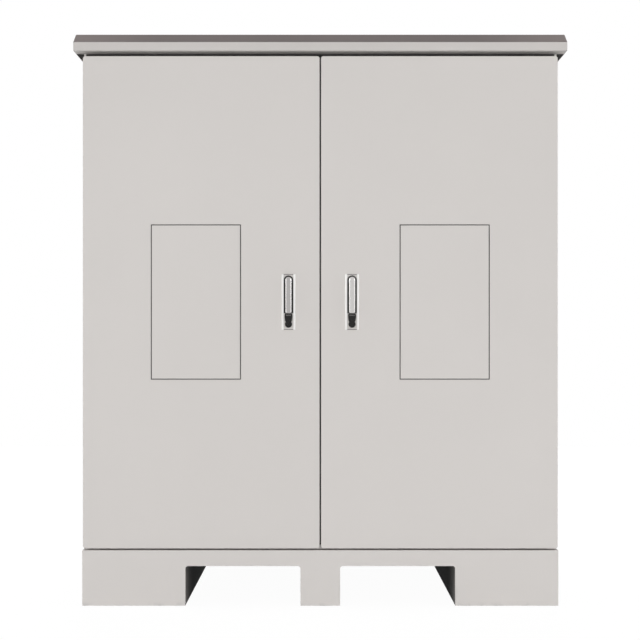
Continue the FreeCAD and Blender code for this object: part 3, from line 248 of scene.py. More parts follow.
def tunnel_shade(name):
    """Painted shade inside the tunnels: near black deep inside, and grey that fades inwards from each mouth,
    with a noisy edge.
    """
    material, place = new_finish(name)
    depth = half_depth - place.part("Y").maths("ABSOLUTE")
    shade_depth = place.noise(90.0, 4.0) * 0.02 + depth
    # grey is 1 at each mouth and 0 deep inside: the fade of the painted shade.
    grey = 1 - shade_depth.rise(0.0, 0.24)
    return lay_on(
        material,
        {
            "Base Color": (grey * grey).between(shade(0.008, 0.008, 0.008), shade(*PAINT, 0.6)),
            "Roughness": 0.9 - grey * 0.1,
            "Specular IOR Level": 0.05,
            "Normal": place.noise(300.0, 4.0).relief(0.0006, 0.5),
        },
    )


# The inside of the tunnels gets painted shade in place of the cabinet paint.
refit("fork_tunnels", "fork_tunnels_shaded", "root", "cabinet_paint", tunnel_shade("tunnel_shade"), 0.0006)

# CABINET BODY
# Floor, side walls, rear wall and ceiling are 2 to 3 mm sheet, welded to the base along their edges.
# The rear wall has two banks of air slots, and a cable entry plate is bolted to the floor.


def dress(finish, *nodes):
    """Gives CAD nodes that stay as they are their finish."""
    for name in nodes:
        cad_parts[name].material_slots[0].material = finish


wall_paint = paint("wall paint")
dress(wall_paint, "floor_plate", "left_side_wall", "right_side_wall", "ceiling_plate")
refit("rear_wall", "rear_wall_painted", "root", "cabinet_paint", wall_paint, 0.0005)


def block(name, x_ends, y_ends, z_ends):
    """Starts a piece as a box between three pairs of ends."""
    if bpy.context.mode != "OBJECT":
        bpy.ops.object.mode_set(mode="OBJECT")
    bpy.ops.object.select_all(action="DESELECT")
    ends = [sorted(pair) for pair in (x_ends, y_ends, z_ends)]
    bpy.ops.mesh.primitive_cube_add(
        size=1.0,
        location=[(low + high) / 2 for low, high in ends],
        scale=[high - low for low, high in ends],
    )
    piece = bpy.context.object
    piece.name = piece.data.name = name
    bpy.ops.object.transform_apply(location=True, rotation=True, scale=True)
    return piece


def pick(piece, kind, wanted):
    """Opens a piece for editing, with only the faces, edges or corners selected that are wanted."""
    if bpy.context.mode != "EDIT_MESH" or bpy.context.object != piece:
        hold(piece)
        bpy.ops.object.mode_set(mode="EDIT")
    bpy.ops.mesh.select_mode(type=kind)
    bpy.ops.mesh.select_all(action="DESELECT")
    shape = bmesh.from_edit_mesh(piece.data)
    if kind == "FACE":
        chosen = [face for face in shape.faces if wanted(face.calc_center_median(), face.normal)]
    elif kind == "EDGE":
        ends = [(edge, edge.verts[0].co, edge.verts[1].co) for edge in shape.edges]
        chosen = [edge for edge, one, two in ends if wanted((one + two) / 2, (two - one).normalized())]
    else:
        chosen = [corner for corner in shape.verts if wanted(corner.co, corner.normal)]
    for item in chosen:
        item.select_set(True)
    bmesh.update_edit_mesh(piece.data)


def joined(name, pieces):
    """Makes one piece of several."""
    hold(pieces[0])
    for piece in pieces:
        piece.select_set(True)
    bpy.ops.object.join()
    pieces[0].name = pieces[0].data.name = name
    return pieces[0]


def repeated(name, piece, moves):
    """Copies a modelled piece by each move, joins the copies and throws the first one away."""
    hold(piece)
    twins = []
    for move in moves:
        twin = bpy.data.objects.new(name, piece.data.copy())
        twin.data.transform(Matrix.Translation(move))
        bpy.context.scene.collection.objects.link(twin)
        twins.append(twin)
    bpy.data.objects.remove(piece)
    return joined(name, twins)


# A pressed hood over each air slot, open below so that rain runs off.
slot_pitch = 0.02
bank_mid = 0.3135
hood_half = 0.106
hood_crest_half = 0.1
hood_low = 0.2405
hood_high = 0.2525
hood_out = half_depth + 0.009
hood = block("hood", (-hood_half, hood_half), (half_depth, hood_out), (hood_low, hood_high))
pick(hood, "EDGE", lambda at, along: at.y > hood_out - 0.001 and at.z > hood_high - 0.0005)
bpy.ops.mesh.bevel(offset=0.0085, segments=6)
pick(hood, "VERT", lambda at, facing: abs(at.x) > hood_crest_half and at.y > half_depth + 0.001)
bpy.ops.transform.resize(value=(hood_crest_half / hood_half, 1, 1))
pick(hood, "FACE", lambda at, facing: facing.z < -0.9 or facing.y < -0.9)
bpy.ops.mesh.delete(type="FACE")
shaped_by(hood, "SOLIDIFY", thickness=0.0012, offset=-1.0, use_even_offset=True)
soften(hood, 0.0004, 2, 50)
places = [(bank * bank_mid, 0, k * slot_pitch) for bank in (-1, 1) for k in range(6)]
fit(repeated("rear_louvres", hood, places), "root", "cabinet_paint", wall_paint)


def zinc(name, tone=1.0):
    """Bright zinc plating: small spangles and a faint passivation haze."""
    material, place = new_finish(name)
    flake = place.add("TexVoronoi", None, {"Vector": place, "Scale": 130.0}, "Color").part("X")
    haze = place.noise(9.0, 4.0)
    tint = (flake * 0.35 + haze * 0.65).between(shade(0.5, 0.51, 0.53, tone), shade(0.7, 0.71, 0.71, tone))
    return lay_on(
        material,
        {
            "Base Color": tint,
            "Metallic": 0.92,
            "Roughness": 0.3 + haze * 0.16 + flake * 0.06,
            "Normal": place.noise(420.0, 3.0).relief(0.00003, 0.4),
        },
    )


zinc_plate = zinc("zinc plate")
refit("cable_entry_plate", "cable_entry_plate_plated", "root", "zinc_steel", zinc_plate, 0.0004)

# DOOR FRAME
# Two side posts, a middle post and four rails, folded from 2.5 mm sheet.
# They are welded to each other and to the body, and painted with it.
for node in ("door_frame_posts", "door_frame_rails"):
    refit(node, node + "_painted", "root", "cabinet_paint", wall_paint, 0.0007)


def shade_black_rubber(name):
    """A black rubber look for painted shade, with fine die lines and a grey bloom."""
    material, place = new_finish(name)
    bloom = place.noise(26.0, 4.0)
    return lay_on(
        material,
        {
            "Base Color": bloom.between(shade(0.016, 0.015, 0.015), shade(0.034, 0.033, 0.032)),
            "Roughness": 0.62 + bloom * 0.2,
            "Specular IOR Level": 0.25,
            "Normal": place.noise(700.0, 2.0).relief(0.00005, 0.5),
        },
    )


# Black strips on the frame behind the gaps over and between the doors are painted shade, which darkens the
# gaps.
gap_shade_black = shade_black_rubber("black shade rubber")
frame_face = -0.369
strip_low = 1.3868
eaves = 1.3957
top_gap_shade = block("top_gap_shade", (-0.5945, 0.5945), (frame_face - 0.003, frame_face), (strip_low, eaves))
middle_gap_shade = block("middle_gap_shade", (-0.007, 0.007), (frame_face - 0.0025, frame_face), (0.15, strip_low))
for strip in (top_gap_shade, middle_gap_shade):
    soften(strip, 0.0009, 3)
    fit(strip, "root", "seal_rubber", gap_shade_black)

# ROOF
# One cap of 2 mm sheet with a folded fascia, a steep front slope and slanted, slotted soffits at the sides.
# It is screwed to the ceiling from below; its top is duller from rain and dust. Painted shade darkens its
# fascia and front slope.
# Painted shade: the dark, warm grey of the roof's front slope.
SLOPE_SHADE = (0.216, 0.188, 0.182)


def shaded_roof_paint(name):
    """Roof paint: dust on the top; painted shade on the fascia, and a darker, warmer painted shade on the
    front slope, which painted reflection lightens at both ends.
    """
    material, place = new_finish(name)
    cloud = place.noise(1.7, 3.0)
    blotch = place.noise(5.0, 6.0).rise(0.3, 0.75)
    top = place.part("Z").rise(1.4168, 1.4182)
    behind = place.noise(40.0, 3.0) * 0.01 + place.part("Y")
    end_reflection = place.part("X").maths("ABSOLUTE").rise(0.4, 0.62)
    # The fascia's coat is painted darker than the doors' paint, as painted shade.
    coat = cloud.rise(0.3, 0.7).between(shade(*PAINT, 0.88), shade(*PAINT, 0.94))
    slope_shade = end_reflection.between(blotch.between(shade(*SLOPE_SHADE, 0.92), shade(*SLOPE_SHADE, 1.04)), shade(*SLOPE_SHADE, 1.36))
    dust = blotch.between(shade(*PAINT, 0.78), shade(*PAINT, 0.88))
    return lay_on(
        material,
        {
            "Base Color": top.between(coat, behind.rise(-0.368, -0.35).between(slope_shade, dust)),
            "Roughness": 0.48 + cloud * 0.1 + top * 0.2,
            "Specular IOR Level": 0.2,
            "Normal": orange_peel(place),
        },
    )


refit("roof_cap", "roof_cap_painted", "root", "cabinet_paint", shaded_roof_paint("roof paint"), 0.0009, 3, 20)
dress(zinc_plate, "roof_screws")

# Black pieces across the front ends of the slanted soffits are painted shade, which darkens the ends.
soffit_in = 0.6004
soffit_out = 0.619
soffit_end_shades = []
for way in (-1, 1):
    y_ends = (frame_face - 0.0025, frame_face)
    plug = block("plug", (way * soffit_in, way * soffit_out), y_ends, (1.3745, eaves))
    pick(plug, "FACE", lambda at, facing: True)
    bpy.ops.mesh.bisect(
        plane_co=(way * soffit_out, 0, eaves),
        plane_no=(way * 0.745, 0, -0.667),
        clear_outer=True,
        use_fill=True,
    )
    soften(plug, 0.0006, 2)
    soffit_end_shades.append(plug)
fit(joined("soffit_end_shade", soffit_end_shades), "root", "seal_rubber", gap_shade_black)

# RACKS
# Eight posts between floor and ceiling, and a pair of angles under each battery module.
# They are folded from zinc-plated steel sheet.
dress(zinc_plate, "rack_posts", "support_angles")

# BATTERY MODULES
# Twelve enamelled steel cases, each behind a wider face plate with cooling slots and two bent handles.
# They slide in on the angles and are screwed to the posts by the face plate's ears.


def module_coat(name):
    """Dark grey baked enamel."""
    material, place = new_finish(name)
    cloud = place.noise(3.0, 3.0)
    return lay_on(
        material,
        {
            "Base Color": cloud.between(shade(0.05, 0.053, 0.058), shade(0.075, 0.079, 0.085)),
            "Roughness": 0.5 + cloud * 0.15,
            "Normal": place.noise(800.0, 2.0).relief(0.00008, 0.5),
        },
    )


def less(piece, *cutters):
    """Cuts each cutter out of a piece and throws the cutter away."""
    for cutter in cutters:
        shaped_by(piece, "BOOLEAN", operation="DIFFERENCE", solver="EXACT", object=cutter)
        bpy.data.objects.remove(cutter)


def disc(name, x, z, radius, y_ends, vertices=32):
    """Starts a round piece that faces the front."""
    if bpy.context.mode != "OBJECT":
        bpy.ops.object.mode_set(mode="OBJECT")
    bpy.ops.object.select_all(action="DESELECT")
    bpy.ops.mesh.primitive_cylinder_add(
        vertices=vertices,
        radius=radius,
        depth=abs(y_ends[1] - y_ends[0]),
        location=(x, sum(y_ends) / 2, z),
        rotation=(math.radians(90), 0, 0),
    )
    bpy.ops.object.transform_apply(location=True, rotation=True, scale=True)
    piece = bpy.context.object
    piece.name = piece.data.name = name
    return piece


def facing_front(at, facing):
    """Picks the faces that look at the doors."""
    return facing.y < -0.99


case_coat = module_coat("module coat")
bay_mid = 0.2875
rack_front = -0.31
face_front = rack_front - 0.003
module_mid = 0.249
module_pitch = 0.1778
module_half_width = 0.2413
module_half_height = 0.088
both_ways = (("left", -1), ("right", 1))


def every_module(way, aside=0.0, modules=6):
    """The moves from the middle of the lowest module's place to each module of one bay."""
    return [(way * (bay_mid + aside), 0, k * module_pitch) for k in range(modules)]


both_bays = every_module(-1) + every_module(1)


def battery_module(name):
    """A case behind a face plate with rounded corners and two fields of cooling slots."""
    z_ends = (module_mid - module_half_height, module_mid + module_half_height)
    plate = block(name, (-module_half_width, module_half_width), (face_front, rack_front), z_ends)
    pick(plate, "EDGE", lambda at, along: abs(along.y) > 0.99)
    bpy.ops.mesh.bevel(offset=0.003, segments=4)
    slots = []
    slot_half = 0.002
    slot_gap = 0.0085
    slot_low = module_mid - 0.062
    y_ends = (-0.32, face_front + 0.002)
    for k in range(11):
        for middle, length in ((-0.105, 0.124), (0.105, 0.05)):
            x = middle + (k - 5) * slot_gap
            slot = block("slot", (x - slot_half, x + slot_half), y_ends, (slot_low, slot_low + length))
            pick(slot, "EDGE", lambda at, along: abs(along.y) > 0.99)
            bpy.ops.mesh.bevel(offset=slot_half - 0.0001, segments=3)
            bpy.ops.object.mode_set(mode="OBJECT")
            slots.append(slot)
    less(plate, joined("slots", slots))
    soften(plate, 0.0005, 2)
    case_half_height = module_half_height - 0.002
    z_ends = (module_mid - case_half_height, module_mid + case_half_height)
    case = block("case", (-0.22, 0.22), (rack_front, 0.21), z_ends)
    soften(case, 0.0015, 2)
    return joined(name, [plate, case])


for side, way in both_ways:
    stack = repeated(side + "_battery_cases", battery_module("module"), every_module(way))
    fit(stack, "root", "module_case", case_coat, side + "_battery_modules")
bright_zinc = zinc("bright grips", 1.15)
refit("battery_handles", "battery_grips_plated", "root", "handle_metal", bright_zinc, 0.0024, 3)

# Rack screws hold each face plate by its ears, two a side.
ear_mid = 0.2326
screw = disc("screw", ear_mid, module_mid, 0.005, (face_front - 0.0026, face_front), 20)
pick(screw, "FACE", facing_front)
bpy.ops.mesh.inset(thickness=0.0024)
bpy.ops.mesh.extrude_region_move(TRANSFORM_OT_translate={"value": (0, 0.0012, 0)})
soften(screw, 0.0004, 2)
holes = [(across, up) for across in (-2 * ear_mid, 0) for up in (-0.057, 0.057)]
places = [(x + across, 0, z + up) for x, _, z in both_bays for across, up in holes]
fit(repeated("rack_screws", screw, places), "root", "zinc_steel", zinc_plate)


def moulded(name, low, high, roughness=0.42, gloss=0.5):
    """Moulded plastic with a fine spark-eroded texture."""
    material, place = new_finish(name)
    cloud = place.noise(22.0, 3.0)
    return lay_on(
        material,
        {
            "Base Color": cloud.between(low, high),
            "Roughness": roughness + cloud * 0.12,
            "Specular IOR Level": gloss,
            "Normal": place.noise(1500.0, 2.0).relief(0.00005, 0.5),
        },
    )


# Each module has a status window, a switch, signal lamps and two data ports. They are let into its face,
# to the right of its middle: window and ports in one row, lamps and switch in a row below.
gloss_black = moulded("gloss black nylon", shade(0.007, 0.007, 0.007), shade(0.014, 0.013, 0.013), 0.3, 0.22)
let_in = face_front + 0.0005
window_ends = (0.066, 0.112)
upper_row = module_mid + 0.043
lower_row = module_mid + 0.025
z_ends = (upper_row - 0.011, upper_row + 0.011)
window = block("window", window_ends, (face_front - 0.0012, let_in), z_ends)
pick(window, "FACE", facing_front)
bpy.ops.mesh.inset(thickness=0.0022)
bpy.ops.transform.translate(value=(0, 0.0006, 0))
soften(window, 0.0004, 2)
fit(repeated("status_windows", window, both_bays), "root", "black_plastic", gloss_black)

ports_mid = 0.138
switch = disc("switch", ports_mid, lower_row - 0.0005, 0.0055, (face_front - 0.003, let_in), 28)
pick(switch, "FACE", facing_front)
bpy.ops.mesh.inset(thickness=0.0016)
bpy.ops.transform.translate(value=(0, 0.0008, 0))
soften(switch, 0.0004, 2)
fit(repeated("module_switches", switch, both_bays), "root", "black_plastic", gloss_black)

lamp_green = moulded("lamp green", shade(0.02, 0.2, 0.05), shade(0.03, 0.26, 0.07), 0.12)
lenses = []
for k in range(4):
    x = window_ends[0] + 0.005 + k * 0.008
    lens = disc("lens", x, lower_row, 0.0016, (face_front - 0.001, let_in), 16)
    soften(lens, 0.0008, 3)
    lenses.append(lens)
fit(repeated("signal_lamps", joined("lens", lenses), both_bays), "root", "toggle_plastic", lamp_green)

ports = []
z_ends = (upper_row - 0.007, upper_row + 0.007)
for x in (ports_mid - 0.01, ports_mid + 0.01):
    port = block("port", (x - 0.008, x + 0.008), (face_front - 0.0016, let_in), z_ends)
    pick(port, "FACE", facing_front)
    bpy.ops.mesh.inset(thickness=0.0016)
    bpy.ops.mesh.extrude_region_move(TRANSFORM_OT_translate={"value": (0, 0.0018, 0)})
    soften(port, 0.0003, 2)
    ports.append(port)
fit(repeated("data_ports", joined("port", ports), both_bays), "root", "zinc_steel", zinc_plate)

# BUSBARS
# Two flat copper bars run up each stack, plus and minus, and join its modules to the breaker.
# They are bolted to the terminals, and heat-shrink sleeves cover them in between.


def copper(name):
    """Drawn copper, brown where it has tarnished."""
    material, place = new_finish(name)
    drawn = place.add("Mapping", None, {"Vector": place, "Scale": (900.0, 900.0, 6.0)}).noise(1.0, 3.0)
    tarnish = place.noise(14.0, 5.0).rise(0.45, 0.75)
    tint = tarnish.between(shade(0.78, 0.4, 0.25), shade(0.45, 0.21, 0.12))
    return lay_on(
        material,
        {
            "Base Color": tint,
            "Metallic": 1.0,
            "Roughness": 0.24 + tarnish * 0.2,
            "Normal": drawn.relief(0.00003, 0.4),
        },
    )


bar_copper = copper("bar copper")
for node in ("positive_busbars", "negative_busbars"):
    refit(node, node + "_bare", "root", "copper", bar_copper, 0.0006)

# Hexagon bolts and washers clamp the bars to the terminals.
bar_front = -0.33
washer_front = bar_front - 0.0012
terminal_mid = 0.032
bolt = disc("bolt", 0.0, module_mid, 0.0072, (washer_front - 0.0043, washer_front), 6)
soften(bolt, 0.0006, 2, 20)
washer = disc("washer", 0.0, module_mid, 0.0095, (washer_front, bar_front), 28)
soften(washer, 0.0003, 2)
studs = [(x + across, 0, z) for x, _, z in both_bays for across in (-terminal_mid, terminal_mid)]
fit(repeated("busbar_bolts", joined("bolt", [bolt, washer]), studs), "root", "zinc_steel", zinc_plate)


def collar(name):
    """A moulded ring round one terminal."""
    ring = disc(name, 0.0, module_mid, 0.0145, (face_front - 0.007, face_front), 36)
    less(ring, disc("bore", 0.0, module_mid, 0.0083, (-0.33, -0.30)))
    soften(ring, 0.0008, 3)
    return ring


def sleeve(name):
    """Heat-shrink sleeve over the bar between two terminals."""
    z_ends = (module_mid + 0.03, module_mid + module_pitch - 0.03)
    cover = block(name, (-0.0135, 0.0135), (bar_front - 0.001, bar_front + 0.006), z_ends)
    soften(cover, 0.0022, 4)
    return cover


# On both sides of the cabinet the positive bar is the outer one.
sleeve_red = moulded("red sleeve", shade(0.38, 0.03, 0.02), shade(0.45, 0.035, 0.025), 0.4)
sleeve_black = moulded("black sleeve", shade(0.014, 0.014, 0.014), shade(0.024, 0.024, 0.024), 0.45)
for pole, aside, slot, finish in (
    ("positive", terminal_mid, "toggle_plastic", sleeve_red),
    ("negative", -terminal_mid, "black_plastic", sleeve_black),
):
    terminals = every_module(-1, aside) + every_module(1, aside)
    fit(repeated(pole + "_collars", collar("collar"), terminals), "root", slot, finish)
    gaps = every_module(-1, aside, 5) + every_module(1, aside, 5)
    fit(repeated(pole + "_sleeves", sleeve("sleeve"), gaps), "root", slot, finish)

# BREAKERS
# A moulded breaker above each stack, with a red toggle and a cover over each row of terminals.
# Each sits in a painted sheet panel that spans the rack posts.
refit("breaker_panels", "breaker_panels_painted", "root", "module_case", case_coat, 0.0005)
breaker_black = moulded("breaker case", shade(0.09, 0.09, 0.1), shade(0.12, 0.12, 0.13))
refit("breaker_bodies", "breaker_bodies_moulded", "root", "breaker_case", breaker_black, 0.0012, 3)
breaker_front = -0.345
breaker_low = 1.2488
breaker_high = 1.3528
cover_half_width = 0.048
cover_half_height = 0.01
well_pitch = 0.032
covers = []
for mid in (breaker_low + 0.011, breaker_high - 0.011):
    y_ends = (breaker_front - 0.0022, breaker_front)
    z_ends = (mid - cover_half_height, mid + cover_half_height)
    cover = block("cover", (-cover_half_width, cover_half_width), y_ends, z_ends)
    soften(cover, 0.0009, 3)
    for x in (-well_pitch, 0.0, well_pitch):
        less(cover, disc("well", x, mid, 0.0045, (breaker_front - 0.01, breaker_front - 0.0008), 24))
    covers.append(cover)
bay_middles = [(-bay_mid, 0, 0), (bay_mid, 0, 0)]
covers = repeated("breaker_covers", joined("cover", covers), bay_middles)
cover_plastic = moulded("cover plastic", shade(0.05, 0.05, 0.055), shade(0.07, 0.07, 0.075))
fit(covers, "root", "breaker_case", cover_plastic)
toggle_red = moulded("toggle plastic", shade(0.42, 0.03, 0.02), shade(0.5, 0.035, 0.025), 0.25)
for side, _ in both_ways:
    toggle = side + "_toggle"
    refit(side + "_breaker_toggle", toggle + "_moulded", toggle, "toggle_plastic", toggle_red, 0.0005)

# FANS
# A moulded nylon fan hangs under each opening in the ceiling and blows the warm air out.
# A guard of welded wire rings below it keeps fingers out.
black_nylon = moulded("black nylon", shade(0.014, 0.014, 0.015), shade(0.026, 0.026, 0.028))
refit("fan_housings", "fan_housings_moulded", "root", "black_plastic", black_nylon, 0.0006)
dress(black_nylon, "left_fan_rotor", "right_fan_rotor")
wires = []
wire_radius = 0.0009
ring_pitch = 0.01
fan_y = -0.1
fan_low = 1.356
for radius in [0.014 + k * ring_pitch for k in range(5)]:
    bpy.ops.object.select_all(action="DESELECT")
    bpy.ops.mesh.primitive_torus_add(
        location=(0, fan_y, fan_low - 0.0022),
        major_radius=radius,
        minor_radius=wire_radius,
        major_segments=40,
        minor_segments=6,
    )
    bpy.ops.object.transform_apply(location=True, rotation=True, scale=True)
    bpy.ops.object.shade_smooth()
    wires.append(bpy.context.object)
spoke_half = 0.0557
for x, y in ((spoke_half, wire_radius), (wire_radius, spoke_half)):
    spoke = block("spoke", (-x, x), (fan_y - y, fan_y + y), (fan_low - 0.0013, fan_low))
    soften(spoke, 0.0004)
    wires.append(spoke)
fit(repeated("fan_guards", joined("guard", wires), bay_middles), "root", "zinc_steel", zinc_plate)

# DOORS
# Each is a pan of 2 mm sheet with 25 mm returns, powder coated. A channel welded inside it carries the foam
# gasket, and a blanking panel closes its cut-out from inside, held by eight nuts.
door_paint = paint("door paint")
rubber, rubber_place = new_finish("cellular rubber")
pores = rubber_place.add("TexVoronoi", None, {"Vector": rubber_place, "Scale": 900.0}, "Distance")
lay_on(
    rubber,
    {
        "Base Color": pores.between(shade(0.012, 0.012, 0.012), shade(0.035, 0.035, 0.035)),
        "Roughness": 0.8 + rubber_place.noise(40.0) * 0.15,
        "Normal": pores.relief(0.0004, 0.6),
    },
)
door_front = -0.4
door_back = -0.375
door_inner = 0.00175
door_outer = 0.5985
door_low = 0.1445
door_high = 1.3855
door_sheet = 0.002
handle_mid = 0.080
panel_mid = 0.3135
hole_height = 0.7655
panel_half = (0.1137, 0.1957)
boss_half = (0.01365, 0.06415)


def beyond(at, middle, half):
    """How far a place lies beyond the sides and the ends of a cut-out."""
    return abs(at.x - middle) - half[0], abs(at.z - hole_height) - half[1]


def door_skin(name, way):
    """The door's pan: a shallow box with no back, its corners and front edges rounded, and two cut-outs."""
    skin = block(name, (way * door_inner, way * door_outer), (door_front, door_back), (door_low, door_high))
    pick(skin, "FACE", lambda at, facing: facing.y > 0.99)
    bpy.ops.mesh.delete(type="FACE")
    pick(skin, "EDGE", lambda at, along: abs(along.y) > 0.99)
    bpy.ops.mesh.bevel(offset=0.006, segments=6)
    pick(skin, "EDGE", lambda at, along: at.y < door_front + 0.0001)
    bpy.ops.mesh.bevel(offset=0.0016, segments=4)
    holes = ((way * panel_mid, panel_half, 0.0015), (way * handle_mid, boss_half, 0.0123))
    for middle, half, _ in holes:
        for cut in (middle - half[0], middle + half[0]):
            pick(skin, "FACE", facing_front)
            bpy.ops.mesh.bisect(plane_co=(cut, 0, 0), plane_no=(1, 0, 0))
        for cut in (hole_height - half[1], hole_height + half[1]):
            pick(skin, "FACE", facing_front)
            bpy.ops.mesh.bisect(plane_co=(0, 0, cut), plane_no=(0, 0, 1))
    for middle, half, corner_radius in holes:
        pick(skin, "FACE", lambda at, facing: facing.y < -0.99 and max(beyond(at, middle, half)) < 0)
        bpy.ops.mesh.delete(type="FACE")
        pick(skin, "VERT", lambda at, facing: max(map(abs, beyond(at, middle, half))) < 0.0001)
        bpy.ops.mesh.bevel(offset=corner_radius, segments=5, affect="VERTICES")
    shaped_by(skin, "SOLIDIFY", thickness=door_sheet, offset=-1.0, use_even_offset=True)
    soften(skin, 0.0004, 2, 50)
    return skin


def panel_gap_shade(name, middle):
    """A dark grey band behind the gap round a blanking panel: painted shade that darkens the gap."""
    tape_width = 0.0023
    half_x, half_z = (half - 0.0002 for half in panel_half)
    x_ends = (middle - half_x, middle + half_x)
    z_ends = (hole_height - half_z, hole_height + half_z)
    tape = block(name, x_ends, (door_front + 0.0015, door_front + 0.002), z_ends)
    x_ends = (x_ends[0] + tape_width, x_ends[1] - tape_width)
    z_ends = (z_ends[0] + tape_width, z_ends[1] - tape_width)
    less(tape, block("window", x_ends, (-0.41, -0.39), z_ends))
    soften(tape, 0.0002, 1)
    return tape


# The band's dark grey is painted shade for the panel's gap.
gap_shade_grey = moulded("panel gap shade", shade(0.05, 0.048, 0.046), shade(0.09, 0.086, 0.083), 0.8, 0.1)
for side, way in both_ways:
    leaf = side + "_door_leaf"
    fit(door_skin(side + "_door_skin", way), leaf, "cabinet_paint", door_paint, side + "_door")
    for node, width, segments in ((side + "_blanking_panel", 0.0009, 3), (side + "_seal_channel", 0.0004, 2)):
        refit(node, node + "_painted", leaf, "cabinet_paint", door_paint, width, segments)
    fit(panel_gap_shade(side + "_panel_gap_shade", way * panel_mid), leaf, "seal_rubber", gap_shade_grey)
    dress(rubber, side + "_gasket")
    dress(zinc_plate, side + "_panel_nuts", side + "_hinge_leaves")
dress(zinc_plate, "hinge_frame_leaves", "hinge_pins")

# SWING HANDLES
# A light-grey casting with a recess for the lever and two bright bars down its edges, let into the door.
# The lever is satin on its face and polished on its bevels. Its pinned top turns the spindle.
rim = -0.404
casting_front = -0.403
casting_half = 0.0172
casting_low = 0.6955
casting_high = 0.8355
recess_low = 0.7368
face_recess_high = 0.8324
boss_recess_high = 0.8285
recess_floor = -0.394
spindle_z = 0.8175
plug_z = 0.728
cover_pivot_z = 0.7095


def plated(name, satin, polished, half_band, middle):
    """Chrome plate, polished but for a satin band along the middle."""
    material, place = new_finish(name)
    drawn = place.add("Mapping", None, {"Vector": place, "Scale": (3200.0, 3200.0, 60.0)}).noise(1.0, 3.0)
    cloud = place.noise(70.0, 3.0)
    off_middle = (place.part("X") - middle).maths("ABSOLUTE")
    edge = off_middle.rise(half_band - 0.0003, half_band + 0.0003)
    face = cloud.between(shade(*satin, 0.93), shade(*satin, 1.05))
    return lay_on(
        material,
        {
            "Base Color": edge.between(face, shade(*polished)),
            "Metallic": 1.0,
            "Roughness": 0.34 - edge * 0.2 + drawn * 0.08,
            "Normal": drawn.relief(0.00002, 0.3),
        },
    )


def casting(name):
    """Light-grey satin on the face, painted darker as painted shade, and black behind it as painted shade: in
    the recess and on the boss.
    """
    material, place = new_finish(name)
    cloud = place.noise(90.0, 3.0)
    recess_shade = place.part("Y").rise(casting_front + 0.0003, casting_front + 0.0009)
    face = cloud.between(shade(*PAINT, 0.82), shade(*PAINT, 0.88))
    return lay_on(
        material,
        {
            "Base Color": recess_shade.between(face, shade(0.03, 0.028, 0.027)),
            "Roughness": 0.4 + cloud * 0.1,
            "Normal": place.noise(1200.0, 2.0).relief(0.00003, 0.4),
        },
    )


def recess_cutter(x, top, y_ends):
    """The lever's recess: straight sides and a round top."""
    half = 0.0121
    cutter = block("recess", (x - half, x + half), y_ends, (recess_low, top))
    pick(cutter, "EDGE", lambda at, along: abs(along.y) > 0.99 and at.z > 0.8)
    bpy.ops.mesh.bevel(offset=half - 0.0002, segments=10)
    bpy.ops.object.mode_set(mode="OBJECT")
    return cutter


def handle_body(name, x):
    """The casting: a face plate with bevelled ends, and a boss behind it that fills the door's cut-out."""
    margin = 0.0037
    boss_length = 0.128
    z_ends = (casting_low, casting_high)
    body = block(name, (x - casting_half, x + casting_half), (casting_front, door_front), z_ends)
    pick(body, "FACE", lambda at, facing: facing.y > 0.99)
    bpy.ops.mesh.inset(thickness=margin)
    bpy.ops.transform.resize(value=(1.0, 1.0, boss_length / (casting_high - casting_low - 2 * margin)))
    bpy.ops.mesh.extrude_region_move(TRANSFORM_OT_translate={"value": (0, 0.012, 0)})
    pick(body, "EDGE", lambda at, along: abs(along.y) > 0.99 and at.y > door_front)
    bpy.ops.mesh.bevel(offset=0.0118, segments=8)
    pick(body, "EDGE", lambda at, along: abs(along.x) > 0.99 and at.y < casting_front + 0.0001)
    bpy.ops.mesh.bevel(offset=0.0018, segments=1)
    bpy.ops.object.mode_set(mode="OBJECT")
    # The boss is shorter than the face plate, so the recess reaches less high in it.
    less(
        body,
        recess_cutter(x, face_recess_high, (-0.41, door_front - 0.0004)),
        recess_cutter(x, boss_recess_high, (door_front - 0.0006, recess_floor)),
        disc("plug_bore", x, plug_z, 0.0058, (-0.41, -0.38)),
        disc("cover_pin_bore", x, cover_pivot_z, 0.0027, (-0.41, recess_floor + 0.0005)),
        disc("spindle_bore", x, spindle_z, 0.0062, (recess_floor - 0.0005, -0.38)),
    )
    soften(body, 0.0003, 2, 40)
    return body


def edge_bar(name, x, way):
    """A bright bar down one side of the casting, bevelled on the outside."""
    outside = x + way * 0.0175
    z_ends = (casting_low, casting_high)
    bar = block(name, (outside - way * 0.0053, outside), (rim, door_front - 0.0001), z_ends)
    front_edge = Vector((outside, rim, (casting_low + casting_high) / 2))
    pick(bar, "EDGE", lambda at, along: (at - front_edge).length < 0.0001)
    bpy.ops.mesh.bevel(offset=0.0014, segments=1)
    soften(bar, 0.0003, 2)
    return bar


casting_finish = casting("light casting")
